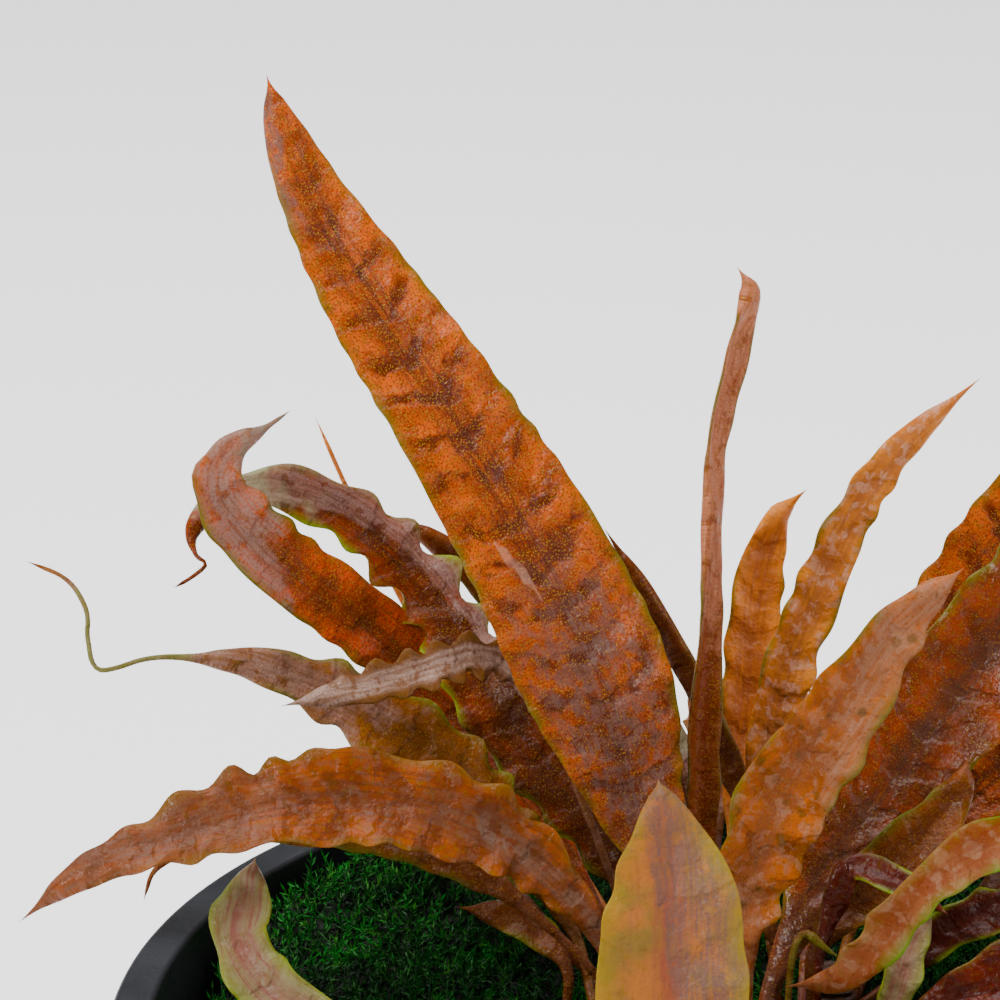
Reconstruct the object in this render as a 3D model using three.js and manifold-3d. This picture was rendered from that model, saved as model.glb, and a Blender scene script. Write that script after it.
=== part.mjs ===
// Brown Cryptocoryne albida in a black nursery pot.
// Millimetres, +Z up. The origin is the middle of the pot's underside.
import * as THREE from 'three';
import Module from 'manifold-3d';

const wasm = await Module();
wasm.setup();

// Pot
const POT_HEIGHT = 88;
const RIM_RADIUS = 55;
const RIM_BAND = 3.9;
const COLLAR_DROP = 10;
const WALL = 1.3;
const BASE_RADIUS = 39;
const POT_SEGMENTS = 44;
const DRAIN_HOLES = 8;
const DRAIN_RADIUS = 4;
const DRAIN_CIRCLE = 29;

// Filling, heights from the rim plane
const GAP = 0.3;
const SOIL_TOP = -11;
const MOSS_TOP = -3.2;
const MOSS_TILT = 0.085;
const MOSS_HOLLOW = 6;
const MOSS_BUMP = 0.35;
const MOSS_RADIUS = 49.3;
const STALK_LIFT = 1.2;
const CROWN_SEGMENTS = 10;
const CROWN_RADIUS = 2.6;
const CROWN_RISE = 4.2;

// Leaves
const RINGS_PER_SPAN = 2.5;
const WAVES_PER_SPAN = 0.8;
const BLADE_THICKNESS = 1.1;
const DEG = Math.PI / 180;

const PLASTIC = { color: '#17181a', roughness: 0.42, metalness: 0 };
const SOIL = { color: '#2b241e', roughness: 0.95, metalness: 0 };
const MOSS = { color: '#2f4a1d', roughness: 0.9, metalness: 0 };
const RHIZOME = { color: '#6a3a1a', roughness: 0.7, metalness: 0 };
const TINTS = {
  orange: '#c2560f', brown: '#8f4015', dark: '#66280f', olive: '#8a6a35', green: '#7a8136',
};

// Short rhizomes that the leaf stalks rise from: x, y
const CROWNS = {
  crown_left: [-8.5, 7],
  crown_middle: [-4.5, -3],
  crown_back: [2, 13.5],
  crown_right: [5.5, -5],
  crown_far_right: [10.5, 4.5],
  crown_front: [-4, -41],
  crown_left_front: [-21.5, -17],
  crown_right_front: [37, -15.5],
};

// One entry for a leaf: tint, fold of its halves (degrees), ruffle of its margins (mm), the ways
// its upper side faces from stalk to tip, the stalk's foot on the moss as x, y and width, and the
// line from there to the tip as stations of x, y, height over the rim and width.
const LEAVES = {
  tall: {
    tint: 'orange', fold: 10, ruffle: 0.7, faces: [[0.1, -1, 0.3]],
    foot: [-3.5, 0.6, 1.6],
    line: [[-4.2, 2, 8, 2], [-7, 6.5, 17, 8], [-11, 10.3, 28, 13.6],
      [-17, 15.4, 39.2, 12.8], [-24, 19.5, 50, 11], [-30.7, 24, 59, 9.4], [-36.1, 28, 67, 6.6],
      [-39.4, 31, 73.5, 3.8], [-41, 33, 78.4, 0]],
  },
  dark_arch: {
    tint: 'dark', fold: 14, ruffle: 0.9, faces: [[0.2, -1, 0.3], [0, -0.9, 0.6]],
    foot: [-4.2, 5.4, 1.6],
    line: [[-6.8, 9, 6, 2.4], [-13, 13.4, 14.5, 6.4], [-19.6, 18, 21.6, 7.4],
      [-26.2, 25.9, 30.2, 6.6], [-33.4, 28.2, 37, 5.4], [-40.2, 27.9, 40, 4.4],
      [-45.4, 26.3, 40, 2.8], [-48, 22.4, 38, 1.7], [-47.7, 20.6, 36.3, 0.7],
      [-46.7, 19.9, 35.6, 0.7], [-48, 19.4, 34.5, 0.7], [-49.6, 18.8, 33.7, 0]],
  },
  left_arch: {
    tint: 'orange', fold: 12, ruffle: 0.6, faces: [[0.2, -0.9, 0.5], [0.3, -0.9, 0.3]],
    foot: [-8.4, 10.8, 1.6],
    line: [[-12.4, 17.6, 5.5, 2.4], [-18.4, 23, 13.5, 5], [-25.8, 23.8, 21.6, 7],
      [-33.6, 20.7, 30.4, 6.8], [-40.2, 19.6, 36.3, 6.8], [-45.1, 18.4, 43, 5.6],
      [-44.2, 20.6, 46.4, 3], [-41.4, 22.6, 47.7, 1.2], [-38.8, 24.2, 49.1, 0]],
  },
  curly_tip: {
    tint: 'olive', fold: 12, ruffle: 0.6, faces: [[0.1, -0.9, 0.5], [0, -0.7, 0.8]],
    foot: [-11, 2.6, 1.4],
    line: [[-13, 7, 4.5, 2], [-18.4, 9.8, 12.2, 5.4], [-25, 13, 18.8, 7.2],
      [-33, 13.8, 24.2, 6.6], [-41, 12.3, 28.5, 3.6], [-46.7, 10.8, 30, 1.3],
      [-51, 9.2, 30.7, 0.7], [-55.4, 7.9, 30.1, 0.7], [-56.5, 9.2, 32.5, 0.7],
      [-56.7, 10.6, 34.7, 0.7], [-58.6, 12.4, 37, 0.7], [-62.6, 14.8, 37.9, 0]],
  },
  pale_small: {
    tint: 'orange', fold: 8, ruffle: 0.5, faces: [[0.2, -1, 0.3], [0, -0.8, 0.7]],
    foot: [-6.4, 0, 1.1],
    line: [[-8.2, 4, 6.5, 1.1], [-12.5, 10.5, 17, 1.3],
      [-17, 14.3, 25.8, 2.4], [-21.5, 13, 29.3, 3.6], [-27, 9.8, 29.1, 3.8], [-33, 7, 28.5, 3],
      [-39.2, 4.8, 27.9, 0]],
  },
  front_left: {
    tint: 'orange', fold: 10, ruffle: 1, faces: [[0, -0.8, 0.6], [-0.2, -0.6, 0.8]],
    foot: [-7.8, -5.4, 1.6],
    line: [[-10, -3.5, 7.5, 2.2], [-16, -1.9, 15.4, 5.4], [-23.7, -2.1, 20.4, 8.2],
      [-33, -2.9, 22.4, 9], [-41.6, -5.4, 22.3, 7.8], [-50.4, -7.6, 20, 4.9],
      [-56.2, -8.6, 17.6, 2.7], [-61.2, -9.8, 13.9, 0]],
  },
  under: {
    tint: 'brown', fold: 10, ruffle: 0.5, faces: [[0, -0.8, 0.6]],
    foot: [-8, -2.2, 1.2],
    line: [[-10.8, -1, 3.8, 1.2], [-16, 0.4, 9, 1.5], [-22.5, 2.2, 13.4, 3.6],
      [-30, 3, 16.4, 4.6], [-38, 2, 17.7, 4],
      [-45, 0.3, 17.6, 2], [-49.9, -1, 15, 1], [-51.2, -1.8, 12, 0]],
  },
  moss_leaf: {
    tint: 'brown', fold: 10, ruffle: 0.3, faces: [[0, -0.7, 0.7]],
    foot: [-13.8, 2.6, 1.1],
    line: [[-13.6, 3.8, 2.4, 1.8], [-15.9, 5.9, 4.7, 3.3], [-19.3, 7.5, 5.9, 3],
      [-23.7, 9.6, 5.8, 0]],
  },
  slim_back: {
    tint: 'orange', fold: 8, ruffle: 0.3, faces: [[0, -1, 0.3]],
    foot: [-5, 9.2, 1.1],
    line: [[-6.5, 14.5, 4.5, 1.4], [-10.5, 23, 14, 2.8],
      [-16, 28.6, 22.6, 3.4], [-21, 31, 29, 3.2], [-25.8, 32, 33.2, 2.2], [-30.8, 32, 36.2, 0]],
  },
  needle: {
    tint: 'brown', fold: 4, ruffle: 0.1, faces: [[0, -1, 0.3]],
    foot: [-7.2, 11.8, 1],
    line: [[-12, 21, 4, 1], [-20, 28, 13.2, 1], [-28.4, 33.2, 25.4, 0.9],
      [-34, 36, 36.3, 0.7], [-37.5, 37.8, 44.1, 0]],
  },
  pot_edge: {
    tint: 'green', fold: 14, ruffle: 0.5, faces: [[-0.2, -0.7, 0.7], [-0.2, -0.9, 0.3]],
    foot: [-25, -15.6, 1.3],
    line: [[-28.5, -14.8, 1, 2], [-34, -10.8, 4, 4.2],
      [-39.6, -6.8, 6, 5.4], [-42.4, -3.4, 8.8, 5.4], [-42.2, -0.4, 11.4, 5.2],
      [-41.5, 1.8, 14.6, 0]],
  },
  foreground: {
    tint: 'orange', fold: 14, ruffle: 0.5, faces: [[0, -1, 0.5]],
    foot: [-4.4, -37.6, 1.8],
    line: [[-4.8, -36.4, 3.6, 4], [-5.5, -34, 12, 10.6],
      [-6, -30.8, 19.3, 12.6], [-5.9, -27.6, 24.9, 10.6], [-6.3, -24.4, 29.8, 5.8],
      [-6.9, -22, 33.1, 0]],
  },
  rolled: {
    tint: 'brown', fold: 24, ruffle: 0.2, faces: [[0.3, -1, 0.2], [0.9, -0.6, 0.2], [0.9, -0.6, 0.2]],
    foot: [-1.4, 10.4, 1.4],
    line: [[-1, 10.4, 6, 1.8], [-1.6, 11.2, 16, 3.2], [-1.6, 13, 24, 3.4],
      [-0.8, 16, 33, 2.8], [-0.4, 20, 40.9, 2.4], [0, 23.8, 47.8, 3], [2, 27.4, 54.9, 3],
      [3.3, 28.9, 58.8, 1.8], [2.1, 29.8, 61.1, 0]],
  },
  edge_on: {
    tint: 'brown', fold: 12, ruffle: 0.4, faces: [[-0.2, -1, 0.2], [-0.6, -0.8, 0.2]],
    foot: [6, 10.4, 1.2],
    line: [[5, 13.8, 7, 2.2], [2.7, 18, 14, 2.8], [0.2, 21, 19.6, 2.6],
      [-3.4, 23.6, 26, 2.4], [-7, 25.6, 32, 1.8], [-10.1, 27.2, 36.7, 0]],
  },
  back: {
    tint: 'orange', fold: 14, ruffle: 0.4, faces: [[0.2, -1, 0.3]],
    foot: [2.6, 17.2, 1.4],
    line: [[2.8, 21, 5.9, 2.4], [3.2, 26.6, 13.4, 4.2],
      [4.2, 31, 21.6, 5.4], [5.2, 34.8, 28.6, 5], [6.8, 35.9, 33.8, 2.7],
      [7.9, 36.1, 35.3, 1.6], [9.8, 35.2, 37.5, 0]],
  },
  long_back: {
    tint: 'orange', fold: 12, ruffle: 0.5, faces: [[0, -1, 0.3], [0.2, -0.9, 0.5]],
    foot: [5.8, 15, 1.4],
    line: [[4.9, 18.8, 7, 2.2], [5.6, 22, 14.6, 4.6],
      [7.2, 25, 22, 5.1], [10.4, 27.8, 30.1, 4.8], [13.7, 29, 37.5, 4], [18.1, 29.2, 44, 2.9],
      [25.2, 29.2, 50.8, 0]],
  },
  right_front: {
    tint: 'orange', fold: 14, ruffle: 0.7, faces: [[0.1, -1, 0.3], [0.3, -0.9, 0.4]],
    foot: [2.4, -7.6, 1.4],
    line: [[1.8, -6, 8, 2.4], [2.4, -4.2, 15, 6.6], [4.7, -1.8, 21.7, 8.6],
      [9, 1.4, 26.8, 7.9], [13.5, 5.1, 32.5, 6], [17.7, 8, 36.4, 3.5], [21.6, 10, 39.1, 0]],
  },
  wet_right: {
    tint: 'dark', fold: 10, ruffle: 0.6, faces: [[-0.2, -0.9, 0.5], [-0.3, -0.9, 0.3]],
    foot: [3.2, -2.2, 2.2],
    line: [[4.9, 0, 3.5, 2.6], [8.7, 3.4, 10.4, 5.6],
      [13.6, 7, 16.4, 9], [19.4, 10.6, 23.3, 11.2], [25.5, 13.4, 31, 11], [31.5, 15.2, 40, 7.2],
      [36.8, 16, 47.6, 0]],
  },
  upper_right: {
    tint: 'orange', fold: 12, ruffle: 0.5, faces: [[-0.2, -1, 0.3]],
    foot: [8.3, 7.6, 1.6],
    line: [[9.4, 12, 5.5, 2.4], [14, 18.4, 13.6, 5.6],
      [19, 23, 21.4, 8.6], [24, 26, 29, 9.8], [29, 28.4, 36.6, 8.8], [33.4, 30, 44, 5],
      [36.4, 31, 49.5, 0]],
  },
  folded_right: {
    tint: 'brown', fold: 16, ruffle: 0.5, faces: [[-0.2, -0.9, 0.5]],
    foot: [9, -1, 1.3],
    line: [[8, -1.8, 6, 1.8], [11.6, 0.2, 11, 5], [15.4, 1.8, 13.8, 6],
      [19, 3.6, 16.8, 5], [21.4, 5.4, 19.6, 3], [22.2, 6.2, 22.4, 0]],
  },
  right_edge: {
    tint: 'orange', fold: 12, ruffle: 0.5, faces: [[-0.1, -0.8, 0.6]],
    foot: [13.4, 7.4, 1.3],
    line: [[15.6, 11.4, 5, 2], [20, 14.8, 10.4, 5], [25.6, 17.2, 14.6, 6.6],
      [31.5, 18.6, 19, 5.8], [36, 19, 22.6, 3.4], [40, 19.2, 26.4, 0]],
  },
  right_pale: {
    tint: 'olive', fold: 10, ruffle: 0.4, faces: [[-0.1, -0.8, 0.6]],
    foot: [11.2, 8.2, 1.3],
    line: [[14.8, 15, 5.8, 2.2], [20.4, 20, 11.8, 4.6],
      [26, 22.6, 16.6, 5.4], [32, 24, 21.2, 4.4], [38.6, 24.4, 27, 0]],
  },
  glossy_bent: {
    tint: 'dark', fold: 16, ruffle: 0.3, faces: [[0.2, -0.8, 0.6], [0, -0.6, 0.9]],
    foot: [9, -4.4, 1.1],
    line: [[8.4, -3.8, 6, 1.1], [9.8, -2.4, 11.8, 2.6], [11.4, -1.8, 15.2, 2.8],
      [13.8, -3.6, 15.3, 3.2], [16.4, -6.2, 15, 2.8], [19.2, -8.6, 14, 0]],
  },
  young_curl: {
    tint: 'green', fold: 10, ruffle: 0.1, faces: [[0, -1, 0.5]],
    foot: [5.6, -8.8, 0.9],
    line: [[5.4, -8.6, 5, 0.9], [5.8, -7.8, 10, 1], [6.8, -7.2, 11.6, 1.1],
      [8.2, -7.8, 10.8, 1.1], [9.8, -8.6, 9.9, 0]],
  },
  twisted: {
    tint: 'green', fold: 24, ruffle: 0.4, faces: [[0.6, -0.8, 0.3], [-0.6, -0.8, 0.3]],
    foot: [9.6, -7.4, 1],
    line: [[11.6, -9.6, 2, 1.4], [14, -10.4, 6, 3], [15.4, -9, 9.8, 3.8],
      [16.8, -6.9, 12.4, 2.4], [17.6, -5, 14.6, 0]],
  },
  low_far_right: {
    tint: 'brown', fold: 10, ruffle: 0.4, faces: [[0, -0.7, 0.8]],
    foot: [14.4, 3.4, 1.2],
    line: [[17, 4.4, 1.6, 2.4], [21, 6, 5, 4], [26, 7.8, 6.4, 4.6],
      [32, 9.6, 7.4, 3.4], [38, 11.4, 7.8, 0]],
  },
  blurred_right: {
    tint: 'orange', fold: 14, ruffle: 0.6, faces: [[-0.7, -0.7, 0.3], [-0.2, -0.8, 0.7], [0, -0.9, 0.5]],
    foot: [37, -19.2, 1.4],
    line: [[36.8, -20, 6, 1.8], [35.4, -20.6, 16, 3.4],
      [32, -21.4, 24.2, 5.4], [26.6, -22.6, 28.3, 5.3], [20.6, -23.4, 27.9, 4.8],
      [15.3, -23.6, 24.3, 3.7], [11.7, -22.8, 19, 4], [8.5, -22, 15.1, 2.7],
      [3.9, -20.6, 13.5, 0]],
  },
  lower_right: {
    tint: 'brown', fold: 12, ruffle: 0.5, faces: [[0, -0.8, 0.7]],
    foot: [33.6, -17.6, 1.4],
    line: [[32.4, -18, 5.6, 2.6], [28.8, -18.6, 11, 6.4],
      [24, -18.9, 12.8, 7.8], [19, -18.8, 11.6, 4.6], [13.9, -18, 9.2, 0]],
  },
  rear_arch: {
    tint: 'orange', fold: 12, ruffle: 0.5, faces: [[0, 0.8, 0.6], [0, 0.5, 0.9]],
    foot: [4.2, 19.6, 1.4],
    line: [[5.8, 25, 3, 2.4], [8.6, 32.4, 8, 6.4],
      [11.6, 41, 10, 8], [14, 49.6, 9.4, 7], [16, 57, 6.4, 4], [17.4, 62.6, 2, 0]],
  },
  rear_left: {
    tint: 'brown', fold: 12, ruffle: 0.5, faces: [[0, 0.8, 0.6], [-0.1, 0.5, 0.9]],
    foot: [-1.6, 15.4, 1.4],
    line: [[-3.2, 23, 4.4, 2.4], [-6.4, 32, 9.6, 6],
      [-10.4, 41, 11.6, 7.6], [-14.6, 49.6, 10.4, 6.4], [-19.4, 57.6, 6.6, 0]],
  },
  rear_low: {
    tint: 'dark', fold: 12, ruffle: 0.4, faces: [[0, 0.7, 0.8]],
    foot: [-11.6, 10, 1.3],
    line: [[-16, 16.6, 1, 2.2], [-22, 25.6, 3.4, 5.2],
      [-28, 35, 4.4, 6], [-33, 44, 3.4, 4], [-37, 51.4, 0.4, 0]],
  },
  rear_right: {
    tint: 'orange', fold: 12, ruffle: 0.5, faces: [[0.2, 0.7, 0.7]],
    foot: [13.4, 9.4, 1.4],
    line: [[19.4, 17.6, 4.4, 2.6], [26.6, 27, 8.6, 6.6],
      [33.6, 36, 10.6, 8], [39.4, 44, 9, 5.6], [44.4, 51.6, 5, 0]],
  },
  side_tall: {
    tint: 'orange', fold: 12, ruffle: 0.6, faces: [[-0.8, -0.5, 0.4]],
    foot: [40.6, -14.8, 1.6],
    line: [[42, -12.6, 6, 2.2], [44.6, -9, 17, 7],
      [48, -5, 28, 10.4], [52, -1.4, 38.4, 9.4], [56, 1, 47, 5.4], [59.4, 2.6, 54, 0]],
  },
  side_arch: {
    tint: 'brown', fold: 12, ruffle: 0.6, faces: [[0.3, 0, 1]],
    foot: [13.4, 1.2, 1.4],
    line: [[22, 0.4, 1, 2.2], [32, 0.2, 8.6, 6.4], [43, 2, 14.4, 8.6],
      [53, 5.6, 15, 7.4], [60.4, 6.6, 11.8, 4], [65, 7.4, 8.4, 0]],
  },
  side_low: {
    tint: 'dark', fold: 12, ruffle: 0.4, faces: [[0.4, -0.5, 0.8]],
    foot: [40.2, -17.8, 1.3],
    line: [[44, -20.6, 2, 2.6], [49.6, -24, 6.4, 6], [56, -27.4, 7, 6],
      [62, -30, 3.6, 0]],
  },
  front_right_low: {
    tint: 'orange', fold: 12, ruffle: 0.5, faces: [[0.3, -0.6, 0.8]],
    foot: [-0.4, -42.4, 1.4],
    line: [[5, -45.4, 3, 2.4], [12, -49.4, 9, 6.6],
      [19.4, -53.6, 10.4, 7.8], [26.4, -57.4, 7.6, 5], [32, -60.4, 3, 0]],
  },
  front_left_low: {
    tint: 'brown', fold: 12, ruffle: 0.5, faces: [[-0.3, -0.6, 0.8]],
    foot: [-7.6, -42.6, 1.4],
    line: [[-12, -45.6, 2, 2.4], [-19, -49.6, 7, 6],
      [-27, -53.4, 7.4, 7], [-34, -56.2, 3.6, 4], [-39, -58, -1, 0]],
  },
  edge_left_low: {
    tint: 'green', fold: 12, ruffle: 0.3, faces: [[-0.3, -0.6, 0.8]],
    foot: [-24.2, -19.8, 1.2],
    line: [[-28.6, -24, 2, 2], [-34.4, -29.4, 6, 4.6],
      [-41, -35, 6.6, 5], [-47.6, -40, 3, 0]],
  },
  back_low: {
    tint: 'dark', fold: 12, ruffle: 0.4, faces: [[0.1, -1, 0.3]],
    foot: [-0.2, 17.4, 1.3],
    line: [[-0.6, 20.6, 4.4, 2.4], [-2, 25.4, 10, 4.6], [-3, 28.6, 14, 3.4],
      [-3.6, 31, 16.4, 0]],
  },
  rear_short: {
    tint: 'orange', fold: 12, ruffle: 0.5, faces: [[0, 0.8, 0.6]],
    foot: [0.8, 21, 1.2],
    line: [[1, 27, 4, 2.2], [1.2, 34.6, 8.6, 5], [1.6, 42, 10.4, 5.6], [2, 49, 10, 3.6],
      [2.2, 54.6, 8, 0]],
  },
  rear_side: {
    tint: 'brown', fold: 12, ruffle: 0.5, faces: [[0.4, 0.3, 0.9]],
    foot: [14.8, 6.4, 1.3],
    line: [[22.6, 12.4, 1.6, 2.2], [31, 18.6, 7.6, 5.6], [40, 24.8, 10.6, 6.8], [48, 30, 9, 4.6],
      [54.6, 34.2, 5, 0]],
  },
  side_mid: {
    tint: 'orange', fold: 12, ruffle: 0.4, faces: [[0.4, 0, 0.9]],
    foot: [41.4, -12.4, 1.2],
    line: [[46, -11, 4, 2.2], [52, -11.4, 9, 5], [58.4, -12, 9.8, 4.8], [64.4, -12.6, 6, 0]],
  },
  front_mid: {
    tint: 'brown', fold: 12, ruffle: 0.5, faces: [[0, -0.6, 0.8]],
    foot: [-3.6, -45, 1.3],
    line: [[-3, -49, 4, 2.4], [-2, -54.4, 8.4, 6], [-1, -60.2, 6.6, 5], [-0.6, -65, 1.4, 0]],
  },
  left_low: {
    tint: 'orange', fold: 12, ruffle: 0.4, faces: [[-0.3, -0.5, 0.8]],
    foot: [-26, -18.2, 1.2],
    line: [[-32, -19.8, 3, 2.2], [-40, -21.6, 7, 5], [-48.6, -23.6, 7.4, 5], [-56, -25.4, 4, 0]],
  },
  front_small: {
    tint: 'orange', fold: 12, ruffle: 0.4, faces: [[0, -0.8, 0.7]],
    foot: [-19.4, -20.8, 1.2],
    line: [[-18, -25.6, 2, 2], [-15.4, -31, 5, 4.6],
      [-13.4, -36.6, 5, 4.4], [-12, -41.6, 2, 0]],
  },
};

function material(look) {
  return new THREE.MeshStandardMaterial(look);
}

function named(name, geometry, look) {
  const mesh = new THREE.Mesh(geometry, material(look));
  mesh.name = name;
  return mesh;
}

function solid(positions, triangles) {
  const geometry = new THREE.BufferGeometry();
  geometry.setAttribute('position', new THREE.Float32BufferAttribute(positions, 3));
  geometry.setIndex(triangles);
  geometry.computeVertexNormals();
  return geometry;
}

function manifold(geometry) {
  const at = geometry.getAttribute('position');
  const vertices = new Map();
  const vertProperties = [];
  const corners = [];
  for (let i = 0; i < at.count; i += 1) {
    const key = [at.getX(i), at.getY(i), at.getZ(i)].map((v) => Math.round(v * 1e4)).join();
    if (!vertices.has(key)) {
      vertices.set(key, vertProperties.length / 3);
      vertProperties.push(at.getX(i), at.getY(i), at.getZ(i));
    }
    corners.push(vertices.get(key));
  }
  const order = Array.from(geometry.getIndex().array, (i) => corners[i]);
  const triVerts = [];
  for (let i = 0; i < order.length; i += 3) {
    const [a, b, c] = order.slice(i, i + 3);
    if (a !== b && b !== c && c !== a) triVerts.push(a, b, c);
  }
  return new wasm.Manifold(new wasm.Mesh({
    numProp: 3,
    vertProperties: new Float32Array(vertProperties),
    triVerts: new Uint32Array(triVerts),
  }));
}

function fromManifold(body) {
  const mesh = body.getMesh();
  return solid(Array.from(mesh.vertProperties), Array.from(mesh.triVerts));
}

// Turned about +Z from a closed half profile of radius and height.
function turned(profile, segments) {
  const points = profile.map(([r, z]) => new THREE.Vector2(r, z));
  return new THREE.LatheGeometry(points, segments).rotateX(Math.PI / 2);
}

function potBody() {
  const inner = RIM_RADIUS - RIM_BAND;
  const neck = POT_HEIGHT - COLLAR_DROP;
  const profile = [
    [0, 0], [BASE_RADIUS - 1.5, 0], [BASE_RADIUS, 1.5],
    [inner + 0.2, neck], [inner + 0.9, POT_HEIGHT - 2.4],
    [RIM_RADIUS - WALL, POT_HEIGHT - 2.4], [RIM_RADIUS - WALL - 0.5, neck],
    [RIM_RADIUS - 0.7, neck], [RIM_RADIUS, POT_HEIGHT - 1], [RIM_RADIUS - 0.9, POT_HEIGHT],
    [inner + 0.5, POT_HEIGHT], [inner, POT_HEIGHT - 0.7], [inner - 0.9, neck],
    [BASE_RADIUS - WALL, 2.2], [BASE_RADIUS - WALL - 1, 1.6], [0, 1.6],
  ];
  let body = manifold(turned(profile, POT_SEGMENTS));
  for (let i = 0; i < DRAIN_HOLES; i += 1) {
    const angle = (2 * Math.PI * (i + 0.5)) / DRAIN_HOLES;
    const drill = wasm.Manifold.cylinder(6, DRAIN_RADIUS, DRAIN_RADIUS, 14, true)
      .translate([DRAIN_CIRCLE * Math.cos(angle), DRAIN_CIRCLE * Math.sin(angle), 0]);
    body = body.subtract(drill);
  }
  return fromManifold(body);
}

// Inner radius of the pot's wall at a height over its underside.
function innerRadius(z) {
  const neck = POT_HEIGHT - COLLAR_DROP;
  const foot = BASE_RADIUS - WALL;
  return foot + ((RIM_RADIUS - RIM_BAND - 0.9 - foot) * (z - 2.2)) / (neck - 2.2);
}

function soilBody() {
  const top = POT_HEIGHT + SOIL_TOP;
  const low = 2 + GAP;
  const clear = GAP + 0.25;
  const profile = [
    [0, low], [innerRadius(low) - clear - 1, low], [innerRadius(low + 2) - clear, low + 2],
    [innerRadius(top - 1) - clear, top - 1], [innerRadius(top) - clear - 1.5, top], [0, top],
  ];
  return turned(profile, POT_SEGMENTS);
}

// Height of the moss tips over the rim plane at a place in the pot.
function mossHeight(x, y) {
  const r = Math.min(Math.hypot(x, y) / MOSS_RADIUS, 1);
  const bumps = Math.sin(x * 0.41 + 1.3) * Math.cos(y * 0.37) + 0.6 * Math.sin(x * 0.9 - y * 0.8);
  const left = Math.max(-x / MOSS_RADIUS, 0) * Math.min(Math.max(1 - y / 28, 0), 1);
  return MOSS_TOP + MOSS_TILT * y - MOSS_HOLLOW * left * r ** 6 + MOSS_BUMP * bumps * (1 - r ** 6);
}

function mossBody() {
  const rings = [0, 7, 14, 21, 28, 35, 41, 46, MOSS_RADIUS];
  const around = 36;
  const under = POT_HEIGHT + SOIL_TOP + GAP;
  const positions = [0, 0, POT_HEIGHT + mossHeight(0, 0)];
  rings.slice(1).forEach((r) => {
    for (let i = 0; i < around; i += 1) {
      const a = (2 * Math.PI * i) / around;
      const [x, y] = [r * Math.cos(a), r * Math.sin(a)];
      positions.push(x, y, POT_HEIGHT + mossHeight(x, y));
    }
  });
  for (let i = 0; i < around; i += 1) {
    const a = (2 * Math.PI * i) / around;
    positions.push((MOSS_RADIUS - 0.6) * Math.cos(a), (MOSS_RADIUS - 0.6) * Math.sin(a), under);
  }
  positions.push(0, 0, under);
  const triangles = [];
  const last = rings.length;
  for (let i = 0; i < around; i += 1) {
    const j = (i + 1) % around;
    triangles.push(0, 1 + i, 1 + j);
    for (let k = 0; k < last - 1; k += 1) {
      const [a, b] = [1 + k * around + i, 1 + k * around + j];
      triangles.push(a, a + around, b + around, a, b + around, b);
    }
    triangles.push(1 + (last - 1) * around + i, 1 + last * around, 1 + (last - 1) * around + j);
  }
  return solid(positions, triangles);
}

function crownBody(x, y) {
  const foot = mossHeight(x, y) + 1.3;
  const profile = [
    [0, foot], [CROWN_RADIUS - 0.7, foot], [CROWN_RADIUS, foot + 1],
    [CROWN_RADIUS - 0.5, foot + CROWN_RISE - 1.2], [CROWN_RADIUS - 1.5, foot + CROWN_RISE - 0.2],
    [0, foot + CROWN_RISE],
  ];
  return turned(profile, CROWN_SEGMENTS).translate(x, y, POT_HEIGHT);
}

// Smooth line through the stations, at a place counted in stations from the stalk's foot.
function along(line, place) {
  const last = line.length - 1;
  const i = Math.min(Math.floor(place), last - 1);
  const t = place - i;
  const before = i > 0 ? line[i - 1] : line[0].map((v, k) => 2 * v - line[1][k]);
  const after = i + 2 <= last ? line[i + 2] : line[last].map((v, k) => 2 * v - line[last - 1][k]);
  return line[i].map((p1, k) => {
    const [p0, p2, p3] = [before[k], line[i + 1][k], after[k]];
    return 0.5 * (2 * p1 + (p2 - p0) * t + (2 * p0 - 5 * p1 + 4 * p2 - p3) * t * t
      + (3 * p1 - p0 - 3 * p2 + p3) * t ** 3);
  });
}

function facing(faces, share) {
  const place = share * (faces.length - 1);
  const i = Math.min(Math.floor(place), Math.max(faces.length - 2, 0));
  const from = new THREE.Vector3(...faces[i]).normalize();
  const to = new THREE.Vector3(...faces[Math.min(i + 1, faces.length - 1)]).normalize();
  return from.lerp(to, place - i).normalize();
}

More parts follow.
